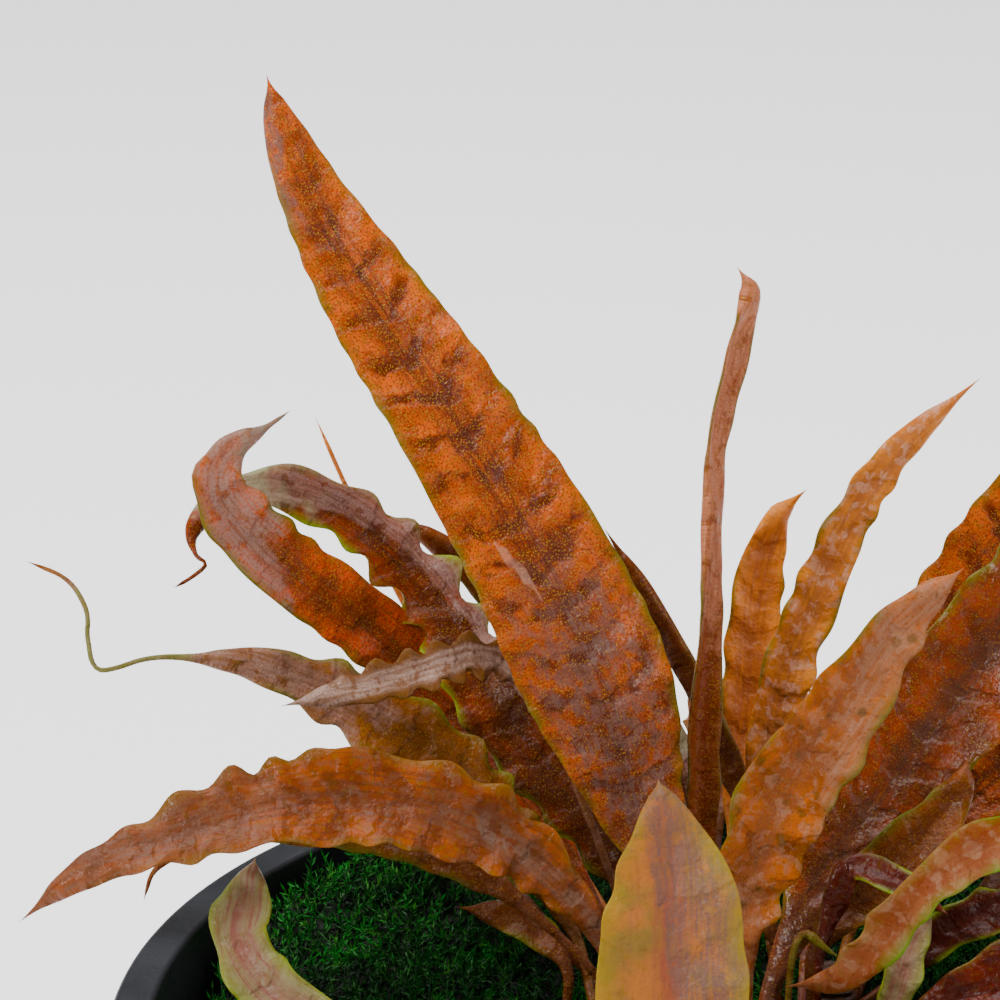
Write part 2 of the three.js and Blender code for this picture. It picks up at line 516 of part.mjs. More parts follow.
// One leaf, stalk and blade: four corners to a ring (left margin, top, right margin, underside).
function leafBody({ fold, ruffle, faces, foot, line: stations }) {
  const [x, y, w] = foot;
  const line = [[x, y, mossHeight(x, y) + STALK_LIFT, w], ...stations];
  const last = line.length - 1;
  const widest = Math.max(...line.map((s) => s[3]));
  const rings = Math.round(last * RINGS_PER_SPAN);
  const positions = [];
  for (let i = 0; i < rings; i += 1) {
    const share = i / rings;
    const here = along(line, share * last);
    const ahead = along(line, Math.min(share * last + 0.05, last));
    const behind = along(line, Math.max(share * last - 0.05, 0));
    const centre = new THREE.Vector3(...here.slice(0, 3));
    const forward = new THREE.Vector3(...ahead.slice(0, 3)).sub(new THREE.Vector3(...behind.slice(0, 3)))
      .normalize();
    const up = facing(faces, share);
    up.addScaledVector(forward, -up.dot(forward)).normalize();
    const side = new THREE.Vector3().crossVectors(up, forward);
    const half = Math.max(here[3], 0.7) / 2;
    const thick = Math.min(half, BLADE_THICKNESS / 2);
    const blade = Math.max(0, (2 * half - 2) / widest);
    const wave = (turn) => ruffle * blade * Math.sin(2 * Math.PI * (share * last * WAVES_PER_SPAN + turn));
    const lift = half * Math.sin(fold * DEG) * Math.min(1, blade * 3);
    const reach = half * Math.cos(fold * DEG);
    const corner = (across, out) => centre.clone().addScaledVector(side, across)
      .addScaledVector(up, out);
    [corner(-reach, lift + wave(0)), corner(0, thick), corner(reach, lift + wave(0.35)),
      corner(0, -thick)].forEach((p) => positions.push(p.x, p.y, p.z));
  }
  positions.push(...line[last].slice(0, 3));
  const triangles = [0, 1, 2, 0, 2, 3];
  for (let i = 0; i < rings - 1; i += 1) {
    for (let k = 0; k < 4; k += 1) {
      const [a, b] = [4 * i + k, 4 * i + ((k + 1) % 4)];
      triangles.push(a, b + 4, b, a, a + 4, b + 4);
    }
  }
  const top = 4 * rings;
  for (let k = 0; k < 4; k += 1) triangles.push(top - 4 + ((k + 1) % 4), top - 4 + k, top);
  return solid(positions, triangles).translate(0, 0, POT_HEIGHT);
}

const plant = new THREE.Group();
plant.name = 'brown_cryptocoryne_albida';
plant.add(named('pot', potBody(), PLASTIC));
plant.add(named('soil', soilBody(), SOIL));
plant.add(named('moss', mossBody(), MOSS));
Object.entries(CROWNS).forEach(([name, [x, y]]) => {
  plant.add(named(name, crownBody(x, y), RHIZOME));
});
Object.entries(LEAVES).forEach(([name, leaf]) => {
  const look = { color: TINTS[leaf.tint], roughness: 0.35, metalness: 0 };
  plant.add(named(`leaf_${name}`, leafBody(leaf), look));
});

export default plant;
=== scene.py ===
"""Brown Cryptocoryne albida in a black nursery pot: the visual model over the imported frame."""
import itertools
import logging
import math
from dataclasses import dataclass
from enum import Enum

import bmesh
import bpy
import numpy as np
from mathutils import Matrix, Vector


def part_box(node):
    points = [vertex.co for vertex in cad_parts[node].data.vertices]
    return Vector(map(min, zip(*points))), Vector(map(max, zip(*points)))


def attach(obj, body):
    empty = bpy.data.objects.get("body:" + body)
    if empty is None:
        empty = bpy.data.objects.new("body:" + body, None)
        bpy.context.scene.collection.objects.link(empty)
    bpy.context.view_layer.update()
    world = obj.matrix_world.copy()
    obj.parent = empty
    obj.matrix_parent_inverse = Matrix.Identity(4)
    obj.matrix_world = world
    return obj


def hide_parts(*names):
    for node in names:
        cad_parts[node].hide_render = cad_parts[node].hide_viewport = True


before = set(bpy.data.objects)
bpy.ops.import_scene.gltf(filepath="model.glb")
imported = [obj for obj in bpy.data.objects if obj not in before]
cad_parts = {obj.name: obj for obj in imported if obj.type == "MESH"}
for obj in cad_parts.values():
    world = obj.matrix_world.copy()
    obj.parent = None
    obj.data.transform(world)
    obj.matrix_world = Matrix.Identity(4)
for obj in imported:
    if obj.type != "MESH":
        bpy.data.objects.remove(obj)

LOG = logging.getLogger("albida")
MM = 0.001
BODY = "root"
FULL_TURN = 2 * math.pi

# Height of the rim plane over the pot's underside (mm)
POT_HEIGHT = 88.0

# Distance from one side vein of a leaf to the next, and so between its cross bars (mm)
BAR_PITCH = 4.5

# Numbers kept on the points of every leaf: mm beside the rib, in from the margin, along the leaf
# and outside the painted highlight of the wet fold, and the share of the length
LEAF_NUMBERS = ("rib_mm", "edge_mm", "run_mm", "fold_highlight_mm", "tip")


class Look(Enum):
    """The ways the leaves are coloured, each with the record's slot that it belongs to."""

    BARRED = ("barred", "leaf_orange")
    BLAZE = ("blaze", "leaf_orange")
    SALMON = ("salmon", "leaf_orange")
    OCHRE = ("ochre", "leaf_orange")
    SOFT = ("soft", "leaf_orange")
    AMBER = ("amber", "leaf_orange")
    BLUSH = ("blush", "leaf_orange")
    CORAL = ("coral", "leaf_orange")
    PEARL = ("pearl", "leaf_orange")
    RUSSET = ("russet", "leaf_brown")
    UPRIGHT = ("upright", "leaf_brown")
    DEEP = ("deep", "leaf_dark")
    WINE = ("wine", "leaf_dark")
    GLOSSY = ("glossy", "leaf_dark")
    OLIVE = ("olive", "leaf_olive")
    SPROUT = ("sprout", "leaf_olive")
    STRIPED = ("striped", "leaf_green")


@dataclass(frozen=True)
class LeafForm:
    """What a leaf's skin adds to the line and width of its solid.

    Args:
        look: how it is coloured.
        crimp: height of the fine waves along its margins, in mm.
        scallop: how far its margins go in and out, in mm.
        pitch: length of one fine wave, in mm.
        quilt: how far the flesh swells between its side veins, in mm.
        spread: how much wider than the solid it is.
        fold_highlight: a painted highlight where a wet fold catches the light, with no fold in the
        shape: where it starts and ends along the leaf, and how far beside the rib it is there, in
            mm.
    """

    look: Look
    crimp: float = 0.3
    scallop: float = 0.25
    pitch: float = 4.6
    quilt: float = 0.16
    spread: float = 1.0
    fold_highlight: tuple[float, float, float, float] | None = None


# Every leaf by name, in the order that numbers their seeds
LEAVES: dict[str, LeafForm] = {
    "tall": LeafForm(Look.BARRED, 0.25, 0.11, 3.9, 0.22, fold_highlight=(48.4, 40.6, 2.9, 1.2)),
    "dark_arch": LeafForm(Look.DEEP, 0.9, 0.95, 5.0),
    "left_arch": LeafForm(Look.BLAZE, 0.25, 0.2, 4.0, 0.12),
    "curly_tip": LeafForm(Look.OLIVE, 0.55, 0.6, 5.2),
    "pale_small": LeafForm(Look.PEARL, 0.45, 0.75, 3.0, 0.05),
    "front_left": LeafForm(Look.SALMON, 0.6, 0.5, 4.7, 0.14),
    "under": LeafForm(Look.RUSSET),
    "moss_leaf": LeafForm(Look.RUSSET, 0.15, 0.1, 5.0),
    "slim_back": LeafForm(Look.RUSSET, 0.2, 0.2),
    "needle": LeafForm(Look.AMBER, 0, 0),
    "pot_edge": LeafForm(Look.STRIPED, 0.4, 0.25, 7.5, 0.05),
    "foreground": LeafForm(Look.BLUSH, 0.4, 0.3, 7.0, 0.06),
    "rolled": LeafForm(Look.UPRIGHT, 0.15, 0.15, 7.0, 0.05, 1.3),
    "edge_on": LeafForm(Look.RUSSET, 0.25, 0.25),
    "back": LeafForm(Look.AMBER),
    "long_back": LeafForm(Look.SOFT, 0.3, 0.3, 5.4),
    "right_front": LeafForm(Look.OCHRE, 0.5, 0.4, 4.8, 0.26),
    "wet_right": LeafForm(Look.WINE, 0.45, 0.35, 5.5, 0.2),
    "upper_right": LeafForm(Look.BARRED),
    "folded_right": LeafForm(Look.RUSSET, 0.3, 0.2),
    "right_edge": LeafForm(Look.BARRED),
    "right_pale": LeafForm(Look.OLIVE),
    "glossy_bent": LeafForm(Look.GLOSSY, 0.2, 0.15),
    "young_curl": LeafForm(Look.SPROUT, 0, 0),
    "twisted": LeafForm(Look.STRIPED, 0.3, 0.2),
    "low_far_right": LeafForm(Look.GLOSSY),
    "blurred_right": LeafForm(Look.CORAL, 0.5, 0.4, 5.6, 0.1),
    "lower_right": LeafForm(Look.GLOSSY),
    "rear_arch": LeafForm(Look.BARRED),
    "rear_left": LeafForm(Look.RUSSET),
    "rear_low": LeafForm(Look.DEEP, 0.6, 0.5),
    "rear_right": LeafForm(Look.BARRED),
    "side_tall": LeafForm(Look.BARRED),
    "side_arch": LeafForm(Look.RUSSET),
    "side_low": LeafForm(Look.DEEP),
    "front_right_low": LeafForm(Look.SALMON),
    "front_left_low": LeafForm(Look.RUSSET),
    "edge_left_low": LeafForm(Look.STRIPED),
    "back_low": LeafForm(Look.DEEP),
    "rear_short": LeafForm(Look.SALMON),
    "rear_side": LeafForm(Look.RUSSET),
    "side_mid": LeafForm(Look.SALMON),
    "front_mid": LeafForm(Look.RUSSET),
    "left_low": LeafForm(Look.SALMON),
    "front_small": LeafForm(Look.BARRED),
}

# Rhizomes that the leaf stalks rise from; their nodes are crown_NAME
CROWNS = ("left", "middle", "back", "right", "far_right", "front", "left_front", "right_front")


def linear(hex_colour: str) -> tuple[float, float, float, float]:
    """Turns an sRGB hex colour into linear RGBA.

    Args:
        hex_colour: the colour as "#rrggbb".
    Returns:
        The four linear channels.
    """
    channels = (int(hex_colour[i:i + 2], 16) / 255 for i in (1, 3, 5))
    red, green, blue = (c / 12.92 if c <= 0.04045 else ((c + 0.055) / 1.055) ** 2.4
                        for c in channels)
    return red, green, blue, 1.0


def per_mm(count: float) -> float:
    """Scale over a leaf's numbers of a pattern of which so many lie along 10 mm."""
    return count / 10


def per_metre(count: float) -> float:
    """Scale over Object coordinates of a pattern of which so many lie along 10 mm."""
    return count / (10 * MM)


def unit(rows: np.ndarray) -> np.ndarray:
    """Scales each row to length one."""
    return rows / np.maximum(np.linalg.norm(rows, axis=-1, keepdims=True), 1e-9)


def wander(along: np.ndarray, *waves: tuple) -> np.ndarray:
    """Adds up slow waves of unlike lengths, so that nothing repeats evenly.

    Args:
        along: distances, in mm.
        waves: height, mm to a radian and phase of each.
    Returns:
        Their sum at each distance.
    """
    return sum(height * np.sin(along / length + phase) for height, length, phase in waves)


def turned(radius: np.ndarray, height: np.ndarray, around: int) -> np.ndarray:
    """Rings of points round the upright axis.

    Args:
        radius: one for each ring, as a column, or for each point.
        height: heights in the same way.
        around: points in a ring.
    Returns:
        Rings by points by three.
    """
    angle = np.linspace(0, FULL_TURN, around, endpoint=False)
    parts = radius * np.cos(angle), radius * np.sin(angle), height
    return np.stack(np.broadcast_arrays(*parts), -1)


def tube_faces(rings: int, around: int, pole: bool, inward: bool) -> list[list[int]]:
    """Faces of a closed tube: perhaps one point, rings of points, and one point more.

    Args:
        rings: how many rings it has.
        around: points in a ring.
        pole: whether it starts in a point; without one the first ring is closed flat.
        inward: whether the rings run clockwise as seen from its end.
    Returns:
        Vertex indices of each face.
    """
    first = int(pole)
    last = first + around * (rings - 1)
    pairs = [(i, (i + 1) % around) for i in range(around)]
    faces = [[0, 1 + j, 1 + i] for i, j in pairs] if pole else [[0, *range(around - 1, 0, -1)]]
    faces += [[row + i, row + j, row + around + j, row + around + i]
              for row in range(first, last, around) for i, j in pairs]
    faces += [[last + i, last + j, last + around] for i, j in pairs]
    return [face[:1] + face[:0:-1] for face in faces] if inward else faces


def mesh_object(name: str, points: np.ndarray, faces: list,
                group: bpy.types.Collection | None = None) -> bpy.types.Object:
    """Makes a mesh object at the origin.

    Args:
        name: its name.
        points: vertices in mm over the pot's underside.
        faces: vertex indices of each face.
        group: the collection that it goes into, instead of the scene's.
    Returns:
        The linked object.
    """
    mesh = bpy.data.meshes.new(name)
    mesh.from_pydata((np.asarray(points) * MM).tolist(), [], faces)
    made = bpy.data.objects.new(name, mesh)
    (group or bpy.context.scene.collection).objects.link(made)
    return made


def settle(made: bpy.types.Object) -> None:
    """Puts the plain mesh that an object's modifiers give in the place of both.

    Args:
        made: the object.
    """
    graph = bpy.context.evaluated_depsgraph_get()
    final = bpy.data.meshes.new_from_object(made.evaluated_get(graph))
    made.modifiers.clear()
    made.data = final


def fill(tree: bpy.types.NodeTree, made: bpy.types.Node, inputs: dict) -> bpy.types.Node:
    """Links or sets a node's inputs.

    Args:
        tree: the tree that the node is in.
        made: the node.
        inputs: by name or number, each a socket, an sRGB hex colour or a plain value.
    Returns:
        The node.
    """
    for key, value in inputs.items():
        if isinstance(value, bpy.types.NodeSocket):
            tree.links.new(value, made.inputs[key])
        else:
            made.inputs[key].default_value = linear(value) if isinstance(value, str) else value
    return made


def add_node(tree: bpy.types.NodeTree, kind: str, inputs: dict,
             settings: dict | None = None) -> bpy.types.Node:
    """Adds one node with its settings and links.

    Args:
        tree: the tree that it goes into.
        kind: its type.
        inputs: as fill takes them.
        settings: its properties by name.
    Returns:
        The node.
    """
    made = tree.nodes.new(kind)
    for key, value in (settings or {}).items():
        setattr(made, key, value)
    return fill(tree, made, inputs)


class Node(Enum):
    """The shader nodes in use: type, settings, inputs in the order they are given, output."""

    NUMBER = ("ShaderNodeAttribute", {}, (), "Fac")
    PLACE = ("ShaderNodeTexCoord", {}, (), "Object")
    NOISE = ("ShaderNodeTexNoise", {}, ("Vector", "Scale", "Detail", "Distortion"), "Fac")
    CELLS = ("ShaderNodeTexVoronoi", {}, ("Vector", "Scale"), "Distance")
    RAMP = ("ShaderNodeMapRange", {"interpolation_type": "SMOOTHSTEP"},
            ("Value", "From Min", "From Max", "To Min", "To Max"), 0)
    MIX = ("ShaderNodeMix", {"data_type": "RGBA"}, (0, 6, 7), 2)
    BUMP = ("ShaderNodeBump", {}, ("Height", "Distance", "Normal"), 0)
    JOIN = ("ShaderNodeCombineXYZ", {}, (0, 1, 2), 0)
    HEIGHT = ("ShaderNodeSeparateXYZ", {}, (0,), "Z")
    STRETCH = ("ShaderNodeVectorMath", {"operation": "MULTIPLY"}, (0, 1), 0)
    TIMES = ("ShaderNodeMath", {"operation": "MULTIPLY"}, (0, 1), 0)
    PLUS = ("ShaderNodeMath", {"operation": "ADD"}, (0, 1), 0)
    OVER = ("ShaderNodeMath", {"operation": "DIVIDE"}, (0, 1), 0)
    MOST = ("ShaderNodeMath", {"operation": "MAXIMUM"}, (0, 1), 0)
    TIMES_PLUS = ("ShaderNodeMath", {"operation": "MULTIPLY_ADD"}, (0, 1, 2), 0)
    SINE = ("ShaderNodeMath", {"operation": "SINE"}, (0,), 0)
    UNSIGNED = ("ShaderNodeMath", {"operation": "ABSOLUTE"}, (0,), 0)


class Shader:
    """A Principled material's node tree."""

    def __init__(self, name: str) -> None:
        """Starts the material.

        Args:
            name: the material's name.
        """
        self.material = bpy.data.materials.new(name)
        self.material.use_nodes = True
        self.tree = self.material.node_tree

    def add(self, node: Node, *values: object, **settings: object) -> bpy.types.NodeSocket:
        """Adds a node, or a chain of them where it is given more values than it has inputs.

        Args:
            node: which one.
            values: its inputs in order; each further value joins the result in one more node.
            settings: settings of its own.
        Returns:
            The output.
        """
        kind, fixed, inputs, output = node.value
        while len(values) > len(inputs):
            values = (self.add(node, *values[:len(inputs)]), *values[len(inputs):])
        made = add_node(self.tree, kind, dict(zip(inputs, values)), fixed | settings)
        return made.outputs[output]

    def finish(self, **inputs: object) -> bpy.types.Material:
        """Sets the surface's inputs.

        Args:
            inputs: by name, with underscores for spaces.
        Returns:
            The material.
        """
        surface = self.tree.nodes["Principled BSDF"]
        fill(self.tree, surface, {key.replace("_", " "): value for key, value in inputs.items()})
        return self.material


@dataclass(frozen=True)
class LeafFinish:
    """A leaf's colours, painted sheen and shade, and how strongly and where each marking shows.

    Args:
        flesh: colour between the bars.
        dim: the flesh in its darker patches.
        bar: colour of the cross bars.
        rib: colour along the middle, and of the blotches where bars meet there.
        painted_sheen: painted reflection, the pale sheen that a wet cuticle gives, laid into the
            colour.
        margin: colour of the thin edge.
        bars: how strongly the bars show.
        sheen_patches: how strongly the painted sheen shows in patches.
        tip_sheen: how strongly the painted sheen shows over the outer part of the leaf.
        tip_from: the share of the length where that outer part starts.
        low_sheen: how strongly the painted sheen shows along the middle of the lower leaf.
        low_to: the share of the length where that lower part ends.
        low_width: how wide it is there, as a share of the way from the rib to the margin.
        shade: how much painted shade darkens the leaf towards its stalk.
        streaks: how strongly fine lengthwise lines show.
        specks: how strongly the gold specks show.
        edge: how far in the margin's colour reaches, in mm.
        rim: how strongly the thin line at the very edge shows.
        tail: colour of a paler stretch near the tip.
        tail_from: the share of the length where that stretch starts.
        tail_to: the share of the length where it ends.
        broken: how far the margin's colour fades in places.
        skew: how much sooner the painted sheen starts towards the right margin, as a share per mm.
        centred: how far that painted sheen keeps off the margins.
        bare_to: the share of the length below which there is none of it.
        gloss: weight of the clear wet coat.
        spots: how strongly olive spots of about 1 mm show.
        rib_reach: how far out the rib's colour goes, in mm.
    """

    flesh: str
    dim: str
    bar: str
    rib: str
    painted_sheen: str
    margin: str = "#63660a"
    bars: float = 0.85
    sheen_patches: float = 0.35
    tip_sheen: float = 0.0
    tip_from: float = 0.6
    low_sheen: float = 0.2
    low_to: float = 0.4
    low_width: float = 0.7
    shade: float = 0.25
    streaks: float = 0.15
    specks: float = 0.7
    edge: float = 1.2
    rim: float = 0.8
    tail: str = "#7a6c40"
    tail_from: float = 1.2
    tail_to: float = 2.0
    broken: float = 0.85
    skew: float = 0.0
    centred: float = 0.0
    bare_to: float = -1.0
    gloss: float = 0.16
    spots: float = 0.0
    rib_reach: float = 2.4


LOOKS: dict[Look, LeafFinish] = {
    Look.BARRED: LeafFinish("#f06200", "#b04400", "#581800", "#56241a", "#785850", sheen_patches=0.12,
                            low_sheen=0.8, low_to=0.5, shade=0.6, rim=0.4, specks=0.85,
                            tip_sheen=0.95, tip_from=1.0, skew=0.09, bare_to=0.83, bars=0.95,
                            rib_reach=3.3, low_width=1.1),
    Look.BLAZE: LeafFinish("#e84e00", "#a83a00", "#641e00", "#703010", "#a07a6e", bars=0.55,
                           sheen_patches=0.0, tip_sheen=0.9, tip_from=0.73, streaks=0.35, specks=0.8,
                           skew=0.014, tail="#84806c", tail_from=0.93, shade=0.1),
    Look.SALMON: LeafFinish("#9e4600", "#7c3400", "#582200", "#643018", "#7c5e4c", "#7a5a14",
                            bars=0.7, tip_sheen=0.48, tip_from=0.68, specks=0.1,
                            low_sheen=0.75, low_to=0.5, rim=0.3, shade=0.0, streaks=0.5,
                            spots=0.3),
    Look.OCHRE: LeafFinish("#d06200", "#a44c04", "#6c3004", "#8c4c2c", "#a8785c", bars=0.65,
                           sheen_patches=0.65, tip_sheen=0.75, tip_from=0.7, low_sheen=0.3, specks=0.35,
                           rim=0.5, shade=0.4, skew=-0.06, spots=0.6),
    Look.SOFT: LeafFinish("#fc9420", "#d87418", "#a04c10", "#ac6030", "#d89c7c", bars=0.4,
                          sheen_patches=0.85, edge=0.8, specks=0.1, rim=0.4, shade=0.3, spots=0.4),
    Look.AMBER: LeafFinish("#fc9424", "#d8761c", "#a04c10", "#ac6030", "#dc9870", bars=0.4,
                           sheen_patches=0.25, edge=0.8, specks=0.0, rim=0.3, shade=0.3),
    Look.BLUSH: LeafFinish("#b46a2e", "#8c6c2e", "#90582c", "#944c38", "#745248", "#9a8400",
                           bars=0.15, sheen_patches=0.1, edge=2.3, specks=0.0, shade=0.0, low_sheen=0.0,
                           rim=0.3, tip_sheen=0.95, skew=-0.15, broken=0.5, gloss=0.05),
    Look.CORAL: LeafFinish("#a0623c", "#803004", "#702800", "#84401c", "#a88264", "#5c8010",
                           bars=0.5, sheen_patches=0.42, edge=1.4, specks=0.1, shade=0.35, low_sheen=0.0,
                           gloss=0.05),
    Look.PEARL: LeafFinish("#744414", "#643808", "#4c2008", "#704028", "#ac8c7c", "#70440c",
                           bars=0.4, sheen_patches=0.1, tip_sheen=0.95, tip_from=0.48, low_sheen=0.0,
                           specks=0.2, rim=0.2, broken=0.6, centred=0.95),
    Look.RUSSET: LeafFinish("#8c4000", "#6f3208", "#4c2004", "#5c2c14", "#8a5a44", bars=0.5,
                            sheen_patches=0.3, specks=0.4, shade=0.55),
    Look.UPRIGHT: LeafFinish("#984404", "#843c0c", "#602a0c", "#8c3410", "#c87c58", "#6a5c10",
                             bars=0.15, sheen_patches=0.15, tip_sheen=0.85, tip_from=0.5, edge=0.5,
                             low_sheen=0.0, specks=0.9, shade=0.1),
    Look.DEEP: LeafFinish("#a03800", "#642200", "#340f00", "#4c200c", "#a07a70", "#809a00",
                          bars=0.4, sheen_patches=0.05, tip_sheen=0.8, tip_from=0.66, streaks=0.4,
                          low_sheen=0.05, specks=0.45, tail="#a09e78", tail_from=0.78,
                          tail_to=0.87, shade=0.55, skew=-0.09, edge=0.9, gloss=0.14),
    Look.WINE: LeafFinish("#a03a00", "#742c04", "#401808", "#5c3426", "#7a5246", "#6c6c00",
                          bars=0.4, sheen_patches=0.25, rim=0.6, specks=0.45, gloss=0.35),
    Look.GLOSSY: LeafFinish("#741c00", "#581400", "#340a00", "#440f04", "#946c5c", "#80960a",
                            bars=0.2, sheen_patches=0.08, specks=0.05, streaks=0.5, low_sheen=0.0,
                            shade=0.6, edge=0.7, gloss=0.3),
    Look.OLIVE: LeafFinish("#985004", "#844600", "#542804", "#64380c", "#9c7466", "#6e7010",
                           bars=0.4, sheen_patches=0.15, tip_sheen=0.8, tip_from=0.46, specks=0.45,
                           tail="#6c7c30", tail_from=0.72, tail_to=0.92, edge=1.0, rim=0.6),
    Look.SPROUT: LeafFinish("#687410", "#4c5a08", "#54300c", "#604010", "#8c9450", "#849a10",
                            bars=0.3, sheen_patches=0.1, low_sheen=0.0, specks=0.3, shade=0.6),
    Look.STRIPED: LeafFinish("#a09468", "#8a7e50", "#986850", "#90584a", "#a89480", "#80900c",
                             bars=0.1, sheen_patches=0.3, streaks=0.9, edge=1.5, specks=0.15,
                             shade=0.0, low_sheen=0.0, broken=0.3),
}


class LeafPaint(Shader):
    """Paints a leaf layer by layer: thin flesh full of colour under a wet waxy skin.

    Such a skin gives the eye small soft lights on every swelling, from the clear coat, and a pale
    film over dark flesh, whose reflection is painted into the colour as a sheen.
    """

    olive_mottle = "#7d6400"
    olive_spot = "#5a4008"
    gold_cell = "#b08420"
    fold_highlight_colour = "#f0b49c"
    # How far a second sheet of noise lies from the first (mm)
    apart = 40.0
    # What the finest and the coarser relief measure from low to high (m)
    pebble_depth = 0.00007
    vein_depth = 0.00035

    def __init__(self, name: str, finish: LeafFinish) -> None:
        """Reads the leaf's numbers and makes what several layers share.

        Args:
            name: the material's name.
            finish: the leaf's colours and how its markings show.
        """
        super().__init__(name)
        self.look, add = finish, self.add
        self.rib, self.edge, self.run, self.fold_highlight, self.tip = (
            add(Node.NUMBER, attribute_name=number) for number in LEAF_NUMBERS)
        self.across = add(Node.UNSIGNED, self.rib)
        self.middle = add(Node.OVER, self.across, add(Node.PLUS, self.across, self.edge))
        self.place = add(Node.JOIN, self.rib, self.run)
        self.under = add(Node.JOIN, self.rib, self.run, self.apart)
        # Cells of 0.2 mm, streaks 0.4 mm wide and 6 mm long, and the share with a ragged edge
        self.grain = add(Node.NOISE, self.place, per_mm(46), 2)
        self.lines = add(Node.NOISE, add(Node.STRETCH, self.place, (per_mm(24), per_mm(1.6), 1)),
                         1.0, 4)
        self.ragged = add(Node.TIMES_PLUS, add(Node.NOISE, self.place, per_mm(3.5), 4), 0.3,
                          self.tip)
        self.ridge = self.ridges()
        self.colour = finish.flesh

    def ridges(self) -> bpy.types.NodeSocket:
        """Swellings that lean towards the tip beside each side vein, wandering and frayed.

        Returns:
            Their height, from 0 to 1.
        """
        add = self.add
        lean = add(Node.TIMES_PLUS, self.across, -0.5, self.run)
        frayed = add(Node.TIMES, add(Node.NOISE, self.place, per_mm(11), 4), 2.4)
        warp = add(Node.TIMES_PLUS, add(Node.NOISE, self.place, per_mm(2), 2), 7.0, frayed)
        wave = add(Node.SINE, add(Node.TIMES_PLUS, lean, FULL_TURN / BAR_PITCH, warp))
        return add(Node.RAMP, wave, -0.15, 0.95)

    def cover(self, share: object, colour: object) -> None:
        """Lays a colour over what is painted, as strongly as its share."""
        self.colour = self.add(Node.MIX, share, self.colour, colour)

    def flesh(self) -> None:
        """Flesh in soft patches of 3 mm with an olive mottle of 0.6 mm, and painted shade to the
        stalk.
        """
        add, look = self.add, self.look
        self.cover(add(Node.RAMP, add(Node.NOISE, self.place, per_mm(3), 4), 0.38, 0.64), look.dim)
        mottle = add(Node.NOISE, self.place, per_mm(16), 3)
        self.cover(add(Node.RAMP, mottle, 0.52, 0.66, 0, 0.35), self.olive_mottle)
        # Painted shade: the flesh darkens to the bar colour towards the stalk
        self.cover(add(Node.RAMP, self.tip, 0.85, 0.08, 0, look.shade), look.bar)

    def bars(self) -> None:
        """Dark cross bars, broken every 2 to 3 mm, and a grain of dark red cells."""
        add, look = self.add, self.look
        whole = add(Node.RAMP, add(Node.NOISE, self.place, per_mm(4), 4, 0.6), 0.34, 0.6)
        inside = add(Node.RAMP, self.edge, 0.2, 2.0, 0.4, 1.0)
        below = add(Node.RAMP, self.tip, 0.72, 0.94, 1.0, 0.3)
        self.cover(add(Node.TIMES, self.ridge, whole, inside, below, look.bars), look.bar)
        self.cover(add(Node.RAMP, self.grain, 0.5, 0.6, 0, look.specks * 0.7), look.bar)

    def midrib(self) -> None:
        """A streaked rib, darker where a bar crosses it, and fine lengthwise lines."""
        add, look = self.add, self.look
        band = add(Node.TIMES, add(Node.RAMP, self.across, look.rib_reach, 0.3),
                   add(Node.RAMP, self.lines, 0.34, 0.6, 0.5, 1.0),
                   add(Node.RAMP, self.ridge, 0.0, 1.0, 0.8, 1.0),
                   add(Node.RAMP, self.tip, 0.82, 0.96, 1.0, 0.5))
        self.cover(band, look.rib)
        self.cover(add(Node.RAMP, self.lines, 0.5, 0.62, 0, look.streaks), look.rib)

    def outer_sheen(self) -> bpy.types.NodeSocket:
        """Painted sheen of the wet film over the outer leaf, with holes of 1 mm.

        Returns:
            Its strength.
        """
        add, look = self.add, self.look
        slant = add(Node.TIMES_PLUS, self.rib, look.skew, self.ragged)
        return add(Node.TIMES, add(Node.RAMP, slant, look.tip_from + 0.12, look.tip_from + 0.18),
                   add(Node.RAMP, self.middle, 0.45, 0.75, 1.0, 1 - look.centred),
                   add(Node.RAMP, self.tip, look.bare_to, look.bare_to + 0.05),
                   add(Node.RAMP, add(Node.NOISE, self.under, per_mm(8), 4), 0.37, 0.44, 0.3, 1.0),
                   look.tip_sheen,
                   add(Node.RAMP, self.tip, look.tail_to, look.tail_to + 0.03, 1, 0))

    def sheen(self) -> None:
        """Painted sheen of the wet film, in patches, over the outer leaf and along the lower rib.
        """
        add, look = self.add, self.look
        patches = add(Node.RAMP, add(Node.NOISE, self.place, per_mm(8.5), 5, 0.5), 0.5, 0.6)
        lower = add(Node.TIMES, add(Node.RAMP, self.tip, look.low_to, look.low_to - 0.12),
                    add(Node.RAMP, self.middle, look.low_width, look.low_width - 0.55),
                    add(Node.RAMP, add(Node.NOISE, self.place, per_mm(7), 4), 0.42, 0.54, 0.15, 1),
                    look.low_sheen)
        sheen = add(Node.MOST, add(Node.TIMES, patches, look.sheen_patches), self.outer_sheen(), lower)
        # The painted sheen is thinner on the cells and in streaks 0.4 mm wide and 4 mm long
        streaks = add(Node.NOISE, add(Node.STRETCH, self.under, (2.0, 0.2, 1.0)), 1.3, 4)
        self.painted_sheen = add(Node.TIMES, sheen, add(Node.RAMP, self.grain, 0.42, 0.62, 1.0, 0.65),
                        add(Node.RAMP, streaks, 0.38, 0.58, 0.45, 1.0))
        # Painted reflection: the wet film's pale sheen laid over the flesh
        self.cover(self.painted_sheen, look.painted_sheen)

